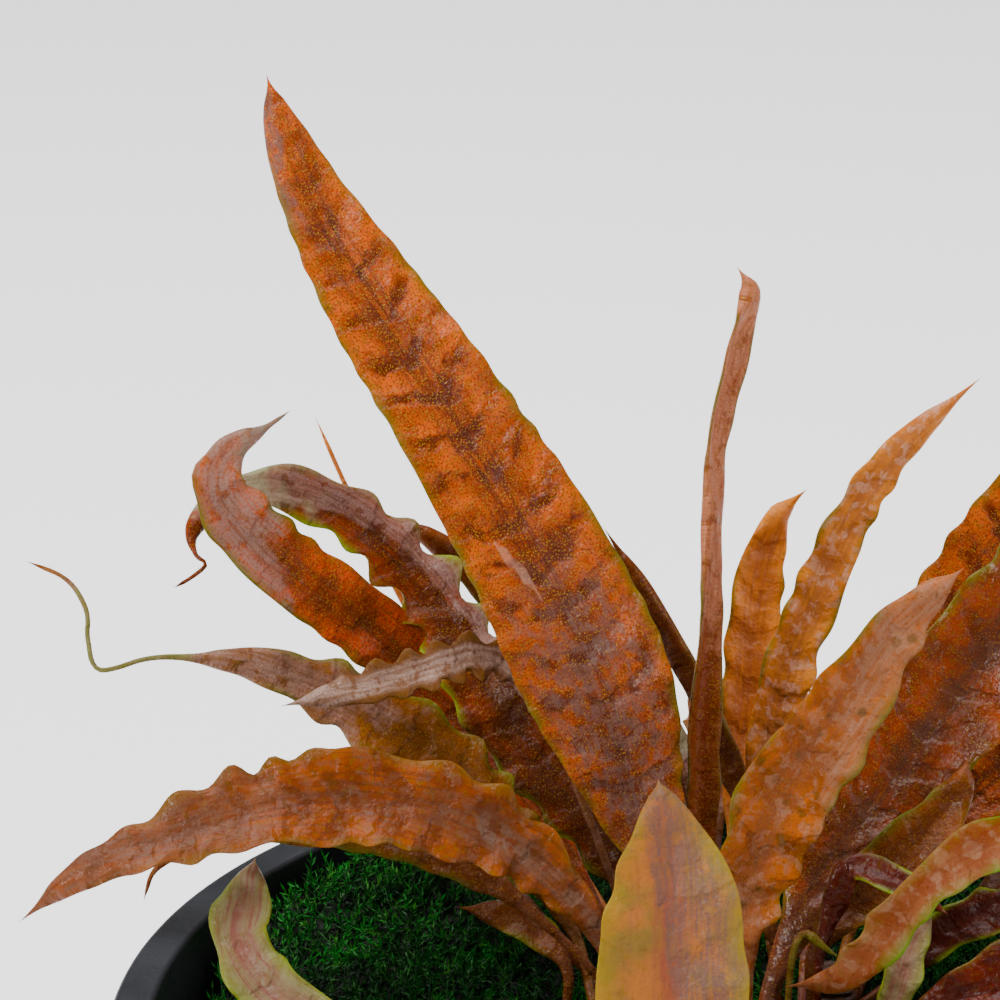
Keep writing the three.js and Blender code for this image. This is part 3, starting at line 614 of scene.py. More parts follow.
    def specks(self) -> None:
        """Gold specks of 0.1 to 0.2 mm, dark pits a little larger and olive spots of 1 mm."""
        add, look = self.add, self.look
        glint = add(Node.NOISE, add(Node.STRETCH, self.under, (1, 0.7, 1)), per_mm(72), 1)
        gold = add(Node.TIMES, add(Node.RAMP, glint, 0.56, 0.64),
                   add(Node.RAMP, add(Node.NOISE, self.under, per_mm(9), 3), 0.34, 0.6, 0.25, 1.0),
                   add(Node.RAMP, self.painted_sheen, 0.0, 0.8, 1.0, 0.35), look.specks)
        self.cover(gold, self.gold_cell)
        pits = add(Node.RAMP, add(Node.CELLS, self.place, per_mm(12.5)), 0.2, 0.08)
        self.cover(add(Node.TIMES, pits, 0.45), look.bar)
        spots = add(Node.RAMP, add(Node.CELLS, self.under, per_mm(5.5)), 0.36, 0.16)
        some = add(Node.RAMP, add(Node.NOISE, self.under, per_mm(5), 3), 0.46, 0.56)
        self.cover(add(Node.TIMES, spots, some, look.spots), self.olive_spot)

    def margin(self) -> None:
        """A paler stretch near the tip, a green margin with its line, and a painted fold
        highlight.
        """
        add, look = self.add, self.look
        starts, ends = look.tail_from, look.tail_to
        pale = add(Node.TIMES, add(Node.RAMP, self.ragged, starts + 0.1, starts + 0.2, 0, 0.85),
                   add(Node.RAMP, self.ragged, ends + 0.13, ends + 0.17, 1, 0),
                   add(Node.RAMP, self.lines, 0.3, 0.62, 1.0, 0.6))
        self.cover(pale, look.tail)
        # The green comes and goes every 4 to 5 mm
        green = add(Node.RAMP, add(Node.NOISE, self.under, per_mm(2.2), 3), 0.4, 0.6,
                    1 - look.broken, 1.0)
        near = add(Node.RAMP, self.edge, look.edge, 0.1, 0, 0.55)
        self.cover(add(Node.TIMES, near, green), look.margin)
        line = add(Node.RAMP, self.edge, 0.3, 0.14)
        self.cover(add(Node.TIMES, line, green, look.rim), look.margin)
        # Painted highlight where a wet fold catches the light
        self.cover(add(Node.RAMP, self.fold_highlight, 0.12, -0.2, 0, 0.75), self.fold_highlight_colour)

    def relief(self) -> bpy.types.NodeSocket:
        """Pebbles of 0.4 mm under swellings between the veins.

        Returns:
            The normal.
        """
        add = self.add
        pebble = add(Node.BUMP, add(Node.NOISE, self.place, per_mm(26), 3), self.pebble_depth)
        swell = add(Node.TIMES_PLUS, self.ridge, -0.4, add(Node.NOISE, self.place, per_mm(6), 3))
        return add(Node.BUMP, swell, self.vein_depth, pebble)

    def paint(self) -> bpy.types.Material:
        """Lays every layer in order.

        Returns:
            The material.
        """
        for layer in (self.flesh, self.bars, self.midrib, self.sheen, self.specks, self.margin):
            layer()
        normal = self.relief()
        rough = self.add(Node.NOISE, self.place, per_mm(10), 3)
        return self.finish(Base_Color=self.colour, Normal=normal, Coat_Normal=normal,
                           Roughness=self.add(Node.RAMP, rough, 0.32, 0.68, 0.3, 0.55),
                           Coat_Weight=self.look.gloss, Coat_Roughness=0.1,
                           Specular_IOR_Level=0.08)


@dataclass(frozen=True)
class PlasticFinish:
    """Black polypropylene, moulded: a near black satin, greyer where it is dusty or smudged.

    Args:
        name: the material's name.
        skin: colour of the clean plastic.
        dust: colour of the marks.
    """

    name: str
    skin: str = "#16171a"
    dust: str = "#2d2f36"

    def build(self) -> bpy.types.Material:
        """Paints smudges of 5 to 20 mm on a moulded grain of 0.4 mm.

        Returns:
            The material.
        """
        shader = Shader(self.name)
        add, place = shader.add, shader.add(Node.PLACE)
        smudge = add(Node.NOISE, place, per_metre(0.8), 5, 0.4)
        colour = add(Node.MIX, add(Node.RAMP, smudge, 0.36, 0.66, 0, 0.75), self.skin, self.dust)
        rough = add(Node.RAMP, add(Node.NOISE, place, per_metre(1.6), 4), 0.3, 0.7, 0.34, 0.52)
        grain = add(Node.BUMP, add(Node.NOISE, place, per_metre(24), 2), 0.03 * MM)
        flow = add(Node.BUMP, add(Node.NOISE, place, per_metre(4.2), 4), 0.05 * MM, grain)
        return shader.finish(Base_Color=colour, Roughness=rough, Specular_IOR_Level=0.4,
                             Normal=flow)


@dataclass(frozen=True)
class SoilFinish:
    """Damp potting soil: black brown crumbs that drink the light, with paler dry fibres.

    Args:
        name: the material's name.
        crumb: the dark crumbs.
        fibre: the paler bits.
    """

    name: str
    crumb: str = "#15120f"
    fibre: str = "#3f3936"

    def build(self) -> bpy.types.Material:
        """Paints fibres of 1.4 mm over crumbs of 1.1 mm with a grit of 0.5 mm.

        Returns:
            The material.
        """
        shader = Shader(self.name)
        add, place = shader.add, shader.add(Node.PLACE)
        fibres = add(Node.RAMP, add(Node.NOISE, place, per_metre(7), 4), 0.48, 0.78)
        rough = add(Node.RAMP, add(Node.NOISE, place, per_metre(5), 2), 0.4, 0.7, 0.5, 0.95)
        grit = add(Node.BUMP, add(Node.NOISE, place, per_metre(22), 3), 0.15 * MM)
        crumbs = add(Node.BUMP, add(Node.CELLS, place, per_metre(9)), 0.6 * MM, grit)
        return shader.finish(Base_Color=add(Node.MIX, fibres, self.crumb, self.fibre),
                             Roughness=rough, Specular_IOR_Level=0.3, Normal=crumbs)


@dataclass(frozen=True)
class MossFinish:
    """Living moss: thin leaves, nearly black down in the mat and fresh green at the tips.

    Args:
        name: the material's name.
        deep: colour down in the mat.
        fresh: colour of the tips.
        pale: colour of the odd young shoot.
    """

    name: str
    deep: str = "#061a06"
    fresh: str = "#0f7a18"
    pale: str = "#48961a"

    def build(self) -> bpy.types.Material:
        """Paints patches of 6 to 15 mm that differ in freshness, and shoots that differ in them.

        Returns:
            The material; it reads how far up a shoot each point is.
        """
        shader = Shader(self.name)
        add, place = shader.add, shader.add(Node.PLACE)
        patch = add(Node.RAMP, add(Node.NOISE, place, per_metre(1.1), 3), 0.4, 0.62, 0.28, 1.0)
        up = add(Node.RAMP, add(Node.NUMBER, attribute_name="tip"), 0.25, 0.95)
        fresh = add(Node.TIMES, patch, up)
        colour = add(Node.MIX, fresh, self.deep, self.fresh)
        shoot = add(Node.RAMP, add(Node.NOISE, place, per_metre(8), 2), 0.5, 0.7, 0, 0.7)
        colour = add(Node.MIX, add(Node.TIMES, fresh, shoot), colour, self.pale)
        return shader.finish(Base_Color=colour, Roughness=0.5, Specular_IOR_Level=0.25)


@dataclass(frozen=True)
class RhizomeFinish:
    """Damp rhizome: dull brown bark, ringed with the darker scars of old leaves.

    Args:
        name: the material's name.
        bark: the lit bark.
        scar: the rings and scars.
        ring: distance from one ring to the next, in mm.
    """

    name: str
    bark: str = "#4a2812"
    scar: str = "#1c1008"
    ring: float = FULL_TURN / 7

    def build(self) -> bpy.types.Material:
        """Paints wandering rings on a grain of 0.7 mm.

        Returns:
            The material.
        """
        shader = Shader(self.name)
        add, place = shader.add, shader.add(Node.PLACE)
        warp = add(Node.TIMES, add(Node.NOISE, place, per_metre(4), 3), 9.0)
        height = add(Node.TIMES_PLUS, add(Node.HEIGHT, place), FULL_TURN / (self.ring * MM), warp)
        rings = add(Node.SINE, height)
        colour = add(Node.MIX, add(Node.RAMP, rings, 0.1, 0.9, 0, 0.45), self.bark, self.scar)
        grain = add(Node.BUMP, add(Node.NOISE, place, per_metre(15), 3), 0.1 * MM)
        return shader.finish(Base_Color=colour, Roughness=0.45,
                             Normal=add(Node.BUMP, rings, 0.1 * MM, grain))


@dataclass
class Piece:
    """Base of the pieces, each one object.

    Args:
        name: the object's name.
        slot: the record's slot for it; it is not used.
        nodes: the CAD nodes that it stands for.
    """

    name: str
    slot: str
    nodes: tuple[str, ...] = ()

    def skin(self, material: bpy.types.Material, rings: np.ndarray, end: np.ndarray,
             start: np.ndarray | None = None, inward: bool = False) -> bpy.types.Object:
        """Closes rings of points into a smooth object.

        Args:
            material: its material.
            rings: rings by points by three, in mm.
            end: the point that closes the last ring.
            start: the point that closes the first, which is closed flat without it.
            inward: whether the rings run clockwise as seen from the end.
        Returns:
            The object.
        """
        pole = [] if start is None else [start]
        faces = tube_faces(*rings.shape[:2], bool(pole), inward)
        made = mesh_object(self.name, np.vstack([*pole, rings.reshape(-1, 3), end]), faces)
        made.data.validate()
        made.data.polygons.foreach_set("use_smooth", [True] * len(made.data.polygons))
        made.data.materials.append(material)
        return made

    def place(self, made: bpy.types.Object) -> None:
        """Ties the object to the body, hides the nodes that it stands for, and reports it.

        Args:
            made: the object.
        """
        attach(made, BODY)
        if self.nodes:
            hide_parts(*self.nodes)
        LOG.info("%s: %d faces", made.name, len(made.data.polygons))


class SolidLine:
    """The cross sections of a leaf's solid: left, top, right and low corner, foot to tip."""

    # Corners no further apart than this are one (m)
    merge = 1e-6

    def __init__(self, node: str) -> None:
        """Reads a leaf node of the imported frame.

        Args:
            node: the node's name.
        """
        self.corners = self.named(self.rings(node))
        self.last = len(self.corners) - 1
        middles = self.corners[:, 1::2].mean(1)
        steps = np.linalg.norm(np.diff(middles, axis=0), axis=1)
        self.run = np.concatenate([[0], np.cumsum(steps)])
        self.length = float(self.run[-1])

    def rings(self, node: str) -> np.ndarray:
        """The rings of four corners in mm, foot to tip, the tip as a ring of one place.

        Args:
            node: the node's name.
        Returns:
            Rings by four by three.
        """
        shape = bmesh.new()
        shape.from_mesh(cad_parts[node].data)
        bmesh.ops.remove_doubles(shape, verts=list(shape.verts), dist=self.merge)
        shape.verts.index_update()
        near = {v.index: {e.other_vert(v).index for e in v.link_edges} for v in shape.verts}
        places = np.array([v.co for v in shape.verts]) / MM
        shape.free()
        for tip in sorted(near):
            seen, layers = {tip}, [[tip]]
            while layer := sorted(set().union(*(near[i] for i in layers[-1])) - seen):
                seen.update(layer)
                layers.append(layer)
            if all(len(layer) == 4 for layer in layers[1:]):
                layers[0] = [tip] * 4
                return places[np.array(layers[::-1])]
        raise ValueError(f"{node} has no single tip")

    @staticmethod
    def named(rings: np.ndarray) -> np.ndarray:
        """Sorts every ring's corners.

        Args:
            rings: rings by four by three.
        Returns:
            The same with left, top, right and low in that order.
        """
        pairs = list(itertools.combinations(range(4), 2))
        spans = [[np.linalg.norm(ring[a] - ring[b]) for a, b in pairs] for ring in rings]
        widest = int(np.argmax(np.max(spans, axis=1)))
        pair = pairs[int(np.argmax(spans[widest]))]
        top, low = (i for i in range(4) if i not in pair)
        out = rings.copy()
        out[widest] = rings[widest][[pair[0], top, pair[1], low]]
        # From the widest ring to both ends, each takes the order that turns it least
        orders = [list(order) for order in itertools.permutations(range(4))]
        for step in (1, -1):
            index = widest + step
            while 0 <= index < len(rings) - 1:
                before = out[index - step] - out[index - step].mean(0)
                here = rings[index] - rings[index].mean(0)
                best = min(orders, key=lambda order: np.sum((here[order] - before) ** 2))
                out[index] = rings[index][best]
                index += step
        # The margins stand higher than the middle, and right is right as seen from above
        lift = (out[:, 0] + out[:, 2] - out[:, 1] - out[:, 3]) * (out[:, 1] - out[:, 3])
        if lift.sum() < 0:
            out = out[:, [0, 3, 2, 1]]
        forward = out[widest + 1].mean(0) - out[widest - 1].mean(0)
        side = np.cross(out[widest, 1] - out[widest, 3], forward)
        if np.dot(out[widest, 2] - out[widest, 0], side) < 0:
            out = out[:, [2, 1, 0, 3]]
        return out

    def at(self, run: np.ndarray) -> np.ndarray:
        """The four corners at distances along, on smooth curves through the rings.

        Args:
            run: the distances, in mm.
        Returns:
            Distances by four by three.
        """
        place = np.interp(run, self.run, np.arange(self.last + 1))
        line = np.concatenate([2 * self.corners[:1] - self.corners[1:2], self.corners,
                               2 * self.corners[-1:] - self.corners[-2:-1]])
        i = np.clip(np.floor(place).astype(int), 0, self.last - 1)
        t = (place - i)[:, None, None]
        p0, p1, p2, p3 = line[i], line[i + 1], line[i + 2], line[i + 3]
        return 0.5 * (2 * p1 + (p2 - p0) * t + (2 * p0 - 5 * p1 + 4 * p2 - p3) * t ** 2
                      + (3 * p1 - p0 - 3 * p2 + p3) * t ** 3)


@dataclass(kw_only=True)
class LeafPiece(Piece):
    """A leaf with its stalk: a closed skin, ruffled and quilted, along its solid's line.

    Args:
        form: what its skin adds.
        seed: sets its own run of waves and markings.
        ring_pitch: distance from ring to ring, in mm.
        column_pitch: half the mean distance from column to column, in mm.
        root: how far the stalk goes on below its solid, in mm.
        sheet: half the thickness of the blade, in mm.
        keel: how far the rib stands out below, in mm.
        keel_reach: how far out it falls to a third of that, in mm.
        slim: thickness of stalk and tail as a share of the solid's, which is thick there.
        taper: length over which a thin tail is drawn out, in mm.
    """

    form: LeafForm
    seed: int
    ring_pitch: float = 0.5
    column_pitch: float = 1 / 4.4
    root: float = 5.0
    sheet: float = 0.2
    keel: float = 0.24
    keel_reach: float = 0.7
    slim: float = 0.66
    taper: float = 12.0

    def __post_init__(self) -> None:
        """Draws the leaf's own phases and the shift of its markings."""
        rng = np.random.default_rng(self.seed)
        self.phases = rng.uniform(0, 2 * np.pi, 8)
        self.shift = float(rng.uniform(0, 900))

    def measure(self) -> None:
        """Works out every ring's middle and ways, and the reach and height of its margins."""
        line = SolidLine(self.nodes[0])
        self.length, self.tip = line.length, line.corners[-1, 0]
        rings = int(np.clip(self.length / self.ring_pitch, 30, 200))
        self.run = np.linspace(0, self.length, rings + 1)[:-1]
        left, top, right, low = np.moveaxis(line.at(self.run), 1, 0)
        self.middle = (top + low) / 2
        self.forward = unit(np.gradient(self.middle, axis=0))
        left, right = ((edge - self.middle) * self.form.spread for edge in (left, right))
        chord = right - left
        self.side = unit(chord - self.forward * np.sum(chord * self.forward, 1, keepdims=True))
        self.up = np.cross(self.forward, self.side)
        self.reach = np.stack([-np.sum(left * self.side, 1), np.sum(right * self.side, 1)], 1)
        self.rise = np.stack([np.sum(left * self.up, 1), np.sum(right * self.up, 1)], 1)
        self.half = np.hypot(self.reach, self.rise).mean(1)
        # How much of a blade each ring is, and how flat
        self.blade = np.clip((self.half - 1) / self.half.max(), 0, 1)
        self.flat = np.clip(self.blade * 3, 0, 1)
        self.thin_out()

    def thin_out(self) -> None:
        """Makes the stalk and the tail slimmer than the solid, and draws out a thin tail."""
        outer = self.run > self.length / 2
        full = np.where(outer, np.clip(self.half / 0.4 - 1.2, 0, 1), self.flat)
        share = self.slim + (1 - self.slim) * full
        left_over = np.clip(0.4 + (self.length - self.run) / self.taper, 0, 1)
        share *= 1 - np.clip(1.2 - self.half / 0.5, 0, 1) * (1 - left_over)
        self.reach, self.rise = self.reach * share[:, None], self.rise * share[:, None]
        self.half = self.half * share

    def build(self, material: bpy.types.Material) -> None:
        """Makes the leaf's object.

        Args:
            material: its leaf material.
        """
        self.measure()
        columns = int(np.clip(self.half.max() / self.column_pitch, 10, 28))
        across = -np.cos(np.linspace(0, np.pi, columns + 1))
        sides = [self.section(across, 1), self.section(across[1:-1][::-1], -1)]
        out_across, out_up, rib, edge = (np.concatenate(pair, axis=1) for pair in zip(*sides))
        rings = self.middle[:, None] + self.side[:, None] * out_across[..., None] \
            + self.up[:, None] * out_up[..., None]
        foot = rings[:1] - self.forward[0] * self.root
        made = self.skin(material, np.concatenate([foot, rings]), self.tip, inward=True)
        share = np.repeat(self.run[:, None] / self.length, rings.shape[1], axis=1)
        run = share * self.length + self.shift
        for key, values in zip(LEAF_NUMBERS, (rib, edge, run, self.fold_highlight_gap(rib), share)):
            full = np.concatenate([values[0], values.ravel(), [values[-1].mean()]])
            made.data.attributes.new(key, "FLOAT", "POINT").data.foreach_set(
                "value", full.astype(np.float32))
        self.place(made)

    def fold_highlight_gap(self, rib: np.ndarray) -> np.ndarray:
        """How far each point is outside the painted highlight of the wet fold.

        Args:
            rib: the points' signed distances from the rib, in mm.
        Returns:
            The distances, in mm.
        """
        if self.form.fold_highlight is None:
            return np.full_like(rib, 9.0)
        start, end, out_start, out_end = self.form.fold_highlight
        t = (self.run[:, None] - start) / (end - start)
        inside = np.clip(t, 0, 1)
        off = np.abs(rib - (out_start + (out_end - out_start) * inside ** 0.8))
        width = 1.5 * np.sqrt(inside) * (1 - inside)
        return np.maximum(off - width, np.abs(t - inside) * abs(end - start))

    def lobes(self, phase: float, drift: float) -> tuple[np.ndarray, np.ndarray]:
        """The fine waves along one margin.

        Args:
            phase: where they start.
            drift: how their pitch wanders.
        Returns:
            Height and outward lobe at each ring, both around -1 to 1.
        """
        turn = np.pi * self.run / self.form.pitch + phase \
            + wander(self.run, (0.9, 6.1, drift), (0.5, 2.7, 3 * drift))
        strength = 0.62 + wander(self.run, (0.25, 5.3, 2 * drift), (0.2, 3.1, drift))
        return strength * np.sin(2 * turn + 0.6), strength * (1.1 * np.sin(2 * turn) - 0.1)

    def swelling(self, s: np.ndarray) -> np.ndarray:
        """How far the flesh stands proud between the side veins, most half way out.

        Args:
            s: columns from margin (-1) to margin (1), as a row.
        Returns:
            The heights in mm, rings by columns.
        """
        ph, out = self.phases, np.abs(s)
        # The veins lean to the tip, and those on the left start between those on the right
        lean = self.run[:, None] - 0.5 * out * self.half[:, None] + 2 * BAR_PITCH * (s < 0)
        lean = lean + wander(lean, (1.3, 5.7, ph[5]), (0.6, 2.3, ph[6]))
        uneven = 0.6 + wander(lean, (0.3, 6.3, ph[7]), (0.3, 3.7, ph[4] + 2 * s))
        # 2.6 brings the highest place between rib and margin to one
        return self.form.quilt * self.flat[:, None] * uneven * out * (1 - s ** 2) * 2.6 \
            * np.sin(FULL_TURN * lean / BAR_PITCH + ph[4])

    def section(self, across: np.ndarray, upper: int) -> tuple[np.ndarray, ...]:
        """One side of every cross section.

        Args:
            across: columns from margin (-1) to margin (1).
            upper: 1 for the upper side, -1 for the lower.
        Returns:
            Offsets sideways and up, then rib and edge numbers in mm, each rings by columns.
        """
        s, size, flat = across[None], self.half[:, None], self.flat[:, None]
        left, out = s < 0, np.abs(s)
        (wave_left, lobe_left), (wave_right, lobe_right) = (
            self.lobes(*self.phases[:2]), self.lobes(*self.phases[2:4]))
        reach, rise, wave, lobe = (np.where(left, on_left[:, None], on_right[:, None])
                                   for on_left, on_right in ((*self.reach.T,), (*self.rise.T,),
                                                             (wave_left, wave_right),
                                                             (lobe_left, lobe_right)))
        # The waves fade out towards the stalk, where there is little blade
        fine = np.minimum(self.blade[:, None] * 2.2, 1)
        cupped = rise * flat * out ** 1.35 + self.form.crimp * fine * wave * out ** 2.6
        # A round stalk turns into a sheet with a rib below
        round_off = np.sqrt(np.clip(1 - s ** 2, 0, 1))
        sheet = np.minimum(size, self.sheet) * np.clip(round_off * 1.6, 0, 1)
        thick = size * round_off * (1 - flat) + sheet * flat
        rib = self.keel * np.exp(-(s * size / self.keel_reach) ** 2) * np.clip(size / 2.5, 0, 1) \
            * flat
        body = thick - 0.5 * rib if upper > 0 else -thick - rib
        sideways = s * reach * (1 + self.form.scallop * fine * lobe / np.maximum(size, 1)
                                * out ** 3)
        return (sideways, cupped + self.swelling(s) + body, s * size,
                (1 - out) * size + 1.2 * (1 - flat))


@dataclass
class PotPiece(Piece):
    """The nursery pot: a turned shell with rounded edges and drain holes, sizes in mm.

    Args:
        rim_radius: outer radius of the rim.
        rim_band: width of the flat rim.
        collar_drop: how far the collar hangs down.
        lip: thickness of the rim.
        wall: thickness of the wall.
        floor: thickness of the floor.
        base_radius: outer radius at the underside.
        drain_holes: how many holes the floor has.
        drain_radius: their radius.
        drain_circle: radius of the circle they stand on.
        drain_land: how far beyond it the floor is flat.
        segments: sides of a full turn.
    """

    rim_radius: float = 55.0
    rim_band: float = 3.9
    collar_drop: float = 10.0
    lip: float = 2.4
    wall: float = 1.3
    floor: float = 1.6
    base_radius: float = 39.0
    drain_holes: int = 8
    drain_radius: float = 4.0
    drain_circle: float = 29.0
    drain_land: float = 7.0
    segments: int = 160

    def corners(self) -> list[tuple[float, float, float]]:
        """The half profile from the underside round to the floor.

        Returns:
            Radius, height and rounding of each corner, in mm.
        """
        inner, collar = self.rim_radius - self.rim_band, self.rim_radius - self.wall
        neck, lip = POT_HEIGHT - self.collar_drop, POT_HEIGHT - self.lip
        land = self.drain_circle + self.drain_land
        return [
            (0, 0, 0), (land, 0, 0), (self.base_radius - 0.4, 0, 1.4),
            (inner + 0.2, neck, 0), (inner + 0.9, lip, 0.6), (collar, lip, 0.4),
            (collar - 0.5, neck, 0.3), (self.rim_radius - 0.7, neck, 0.3),
            (self.rim_radius, POT_HEIGHT, 0.9), (inner, POT_HEIGHT, 0.55),
            (inner - 0.9, neck, 0), (self.base_radius - self.wall, self.floor + 0.2, 1.2),
            (land, self.floor, 0), (0, self.floor, 0),
        ]

    def profile(self) -> np.ndarray:
        """The half profile with its corners rounded in four steps.

        Returns:
            Points of radius and height, in mm.
        """
        corners, out = np.array(self.corners()), []
        for i, (*here, rounding) in enumerate(corners):
            here = np.array(here)
            if rounding == 0:
                out.append(here)
                continue
            start, end = (here + rounding * unit(corners[j, :2] - here) for j in (i - 1, i + 1))
            out += [(1 - t) ** 2 * start + 2 * t * (1 - t) * here + t ** 2 * end
                    for t in np.linspace(0, 1, 5)]
        return np.array(out)

    def build(self, material: bpy.types.Material) -> None:
        """Makes the pot.

        Args:
            material: its plastic.
        """
        profile = self.profile()
        rings = turned(profile[1:-1, :1], profile[1:-1, 1:], self.segments)
        start, end = ((0, 0, profile[i, 1]) for i in (0, -1))
        made = self.skin(material, rings, end, start)
        self.drill(made)
        self.place(made)

    def drill(self, made: bpy.types.Object) -> None:
        """Cuts the drain holes through the pot's floor.

        Args:
            made: the pot's object.
        """
        cutter = bmesh.new()
        for i in range(self.drain_holes):
            angle = FULL_TURN * (i + 0.5) / self.drain_holes
            ring = bmesh.ops.create_cone(cutter, cap_ends=True, segments=28, depth=6 * MM,
                                         radius1=self.drain_radius * MM,
                                         radius2=self.drain_radius * MM)
            where = self.drain_circle * MM * np.array([math.cos(angle), math.sin(angle), 0])
            bmesh.ops.translate(cutter, verts=ring["verts"], vec=where)
        drill = mesh_object("drill", np.zeros((0, 3)), [])
        cutter.to_mesh(drill.data)
        cutter.free()
        cut = made.modifiers.new("holes", "BOOLEAN")
        cut.object, cut.operation, cut.solver = drill, "DIFFERENCE", "EXACT"
        settle(made)
        bpy.data.objects.remove(drill)


@dataclass
class Crown(Piece):
    """A short rhizome, ringed and lumpy, half sunk in the moss.

    Args:
        rings: how many steps it has from foot to top.
        around: points in a ring.
        sunk: how far it goes on below its solid, in mm.
    """

    rings: int = 26
    around: int = 28
    sunk: float = 3.0

    def build(self, material: bpy.types.Material) -> None:
        """Makes the rhizome in the box of its node.

        Args:
            material: its bark.
        """
        low, high = (np.array(corner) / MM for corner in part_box(self.nodes[0]))
        x, y = (low + high)[:2] / 2
        foot = np.array([x, y, low[2] - self.sunk])
        height, widest = high[2] - foot[2], (high - low)[0] / 2
        angle = np.linspace(0, FULL_TURN, self.around, endpoint=False)
        t = (np.arange(1, self.rings) / self.rings)[:, None]
        radius = widest * np.sqrt(1 - (2 * t - 1) ** 6) * (1 - 0.25 * t)
        lumps = 1 + 0.07 * np.sin(3 * angle + 9 * t + x) + 0.05 * np.sin(t * 46) \
            + 0.03 * np.sin(7 * angle - 15 * t + y)
        rings = foot + turned(radius * lumps, height * t, self.around)
        self.place(self.skin(material, rings, foot + [0, 0, height], foot))


@dataclass(frozen=True)
class MossSurface:
    """The lie of the moss, sizes in mm and heights from the rim plane.

    Args:
        radius: its reach, out to the pot's wall.
        top: height of the tips in the middle.
        tilt: how much they rise to the back, per mm.
        hollow: how much lower they are at the left wall on the camera's side.
        bump: height of their bumps.
        shoots: how far the bed lies under the tips.
        soil: height of the bed's underside.
    """

    radius: float = 49.3
    top: float = -3.2
    tilt: float = 0.085
    hollow: float = 6.0
    bump: float = 0.35
    shoots: float = 2.6
    soil: float = -10.7

    def bed(self, x: np.ndarray, y: np.ndarray) -> np.ndarray:
        """Height of the bed over the pot's underside.

        Args:
            x: places across, in mm.
            y: places away from the camera, in mm.
        Returns:
            The heights, in mm.
        """
        r = np.minimum(np.hypot(x, y) / self.radius, 1)
        bumps = np.sin(x * 0.41 + 1.3) * np.cos(y * 0.37) + 0.6 * np.sin(x * 0.9 - y * 0.8)
        left = np.maximum(-x / self.radius, 0) * np.clip(1 - y / 28, 0, 1)
        tips = (self.top + self.tilt * y - self.hollow * left * r ** 6
                + self.bump * bumps * (1 - r ** 6))
        return tips - self.shoots + POT_HEIGHT


SURFACE = MossSurface()


@dataclass
class MossBed(Piece):
    """The matted lower part of the moss, a closed crumbly cushion under the shoots.

    Args:
        rows: steps from the middle to the wall.
        around: points in a ring.
        draw_in: how much narrower it is at its underside, in mm.
        seed: fixes its crumbs.
    """

    rows: int = 65
    around: int = 220
    draw_in: float = 0.6
    seed: int = 5

    def build(self, material: bpy.types.Material) -> None:
        """Makes the bed, which stands for the moss node.

        Args:
            material: its finish.
        """
        rng = np.random.default_rng(self.seed)
        radii = np.linspace(0, SURFACE.radius, self.rows + 1)[1:, None]
        rings = turned(radii, 0 * radii, self.around)
        x, y = rings[..., 0], rings[..., 1]
        rough = 0.35 * np.sin(x * 2.1 + np.cos(y * 1.7) * 2) * np.sin(y * 2.4 + 1.1) \
            + rng.uniform(-0.3, 0.3, x.shape)
        rings[..., 2] = SURFACE.bed(x, y) + rough * (radii < SURFACE.radius - 0.5)
        underside = POT_HEIGHT + SURFACE.soil
        wall = turned(radii[-1:] - self.draw_in, underside, self.around)
        middle = (0, 0, POT_HEIGHT + SURFACE.top - SURFACE.shoots)
        self.place(self.skin(material, np.concatenate([rings, wall]), (0, 0, underside), middle,
                             inward=True))


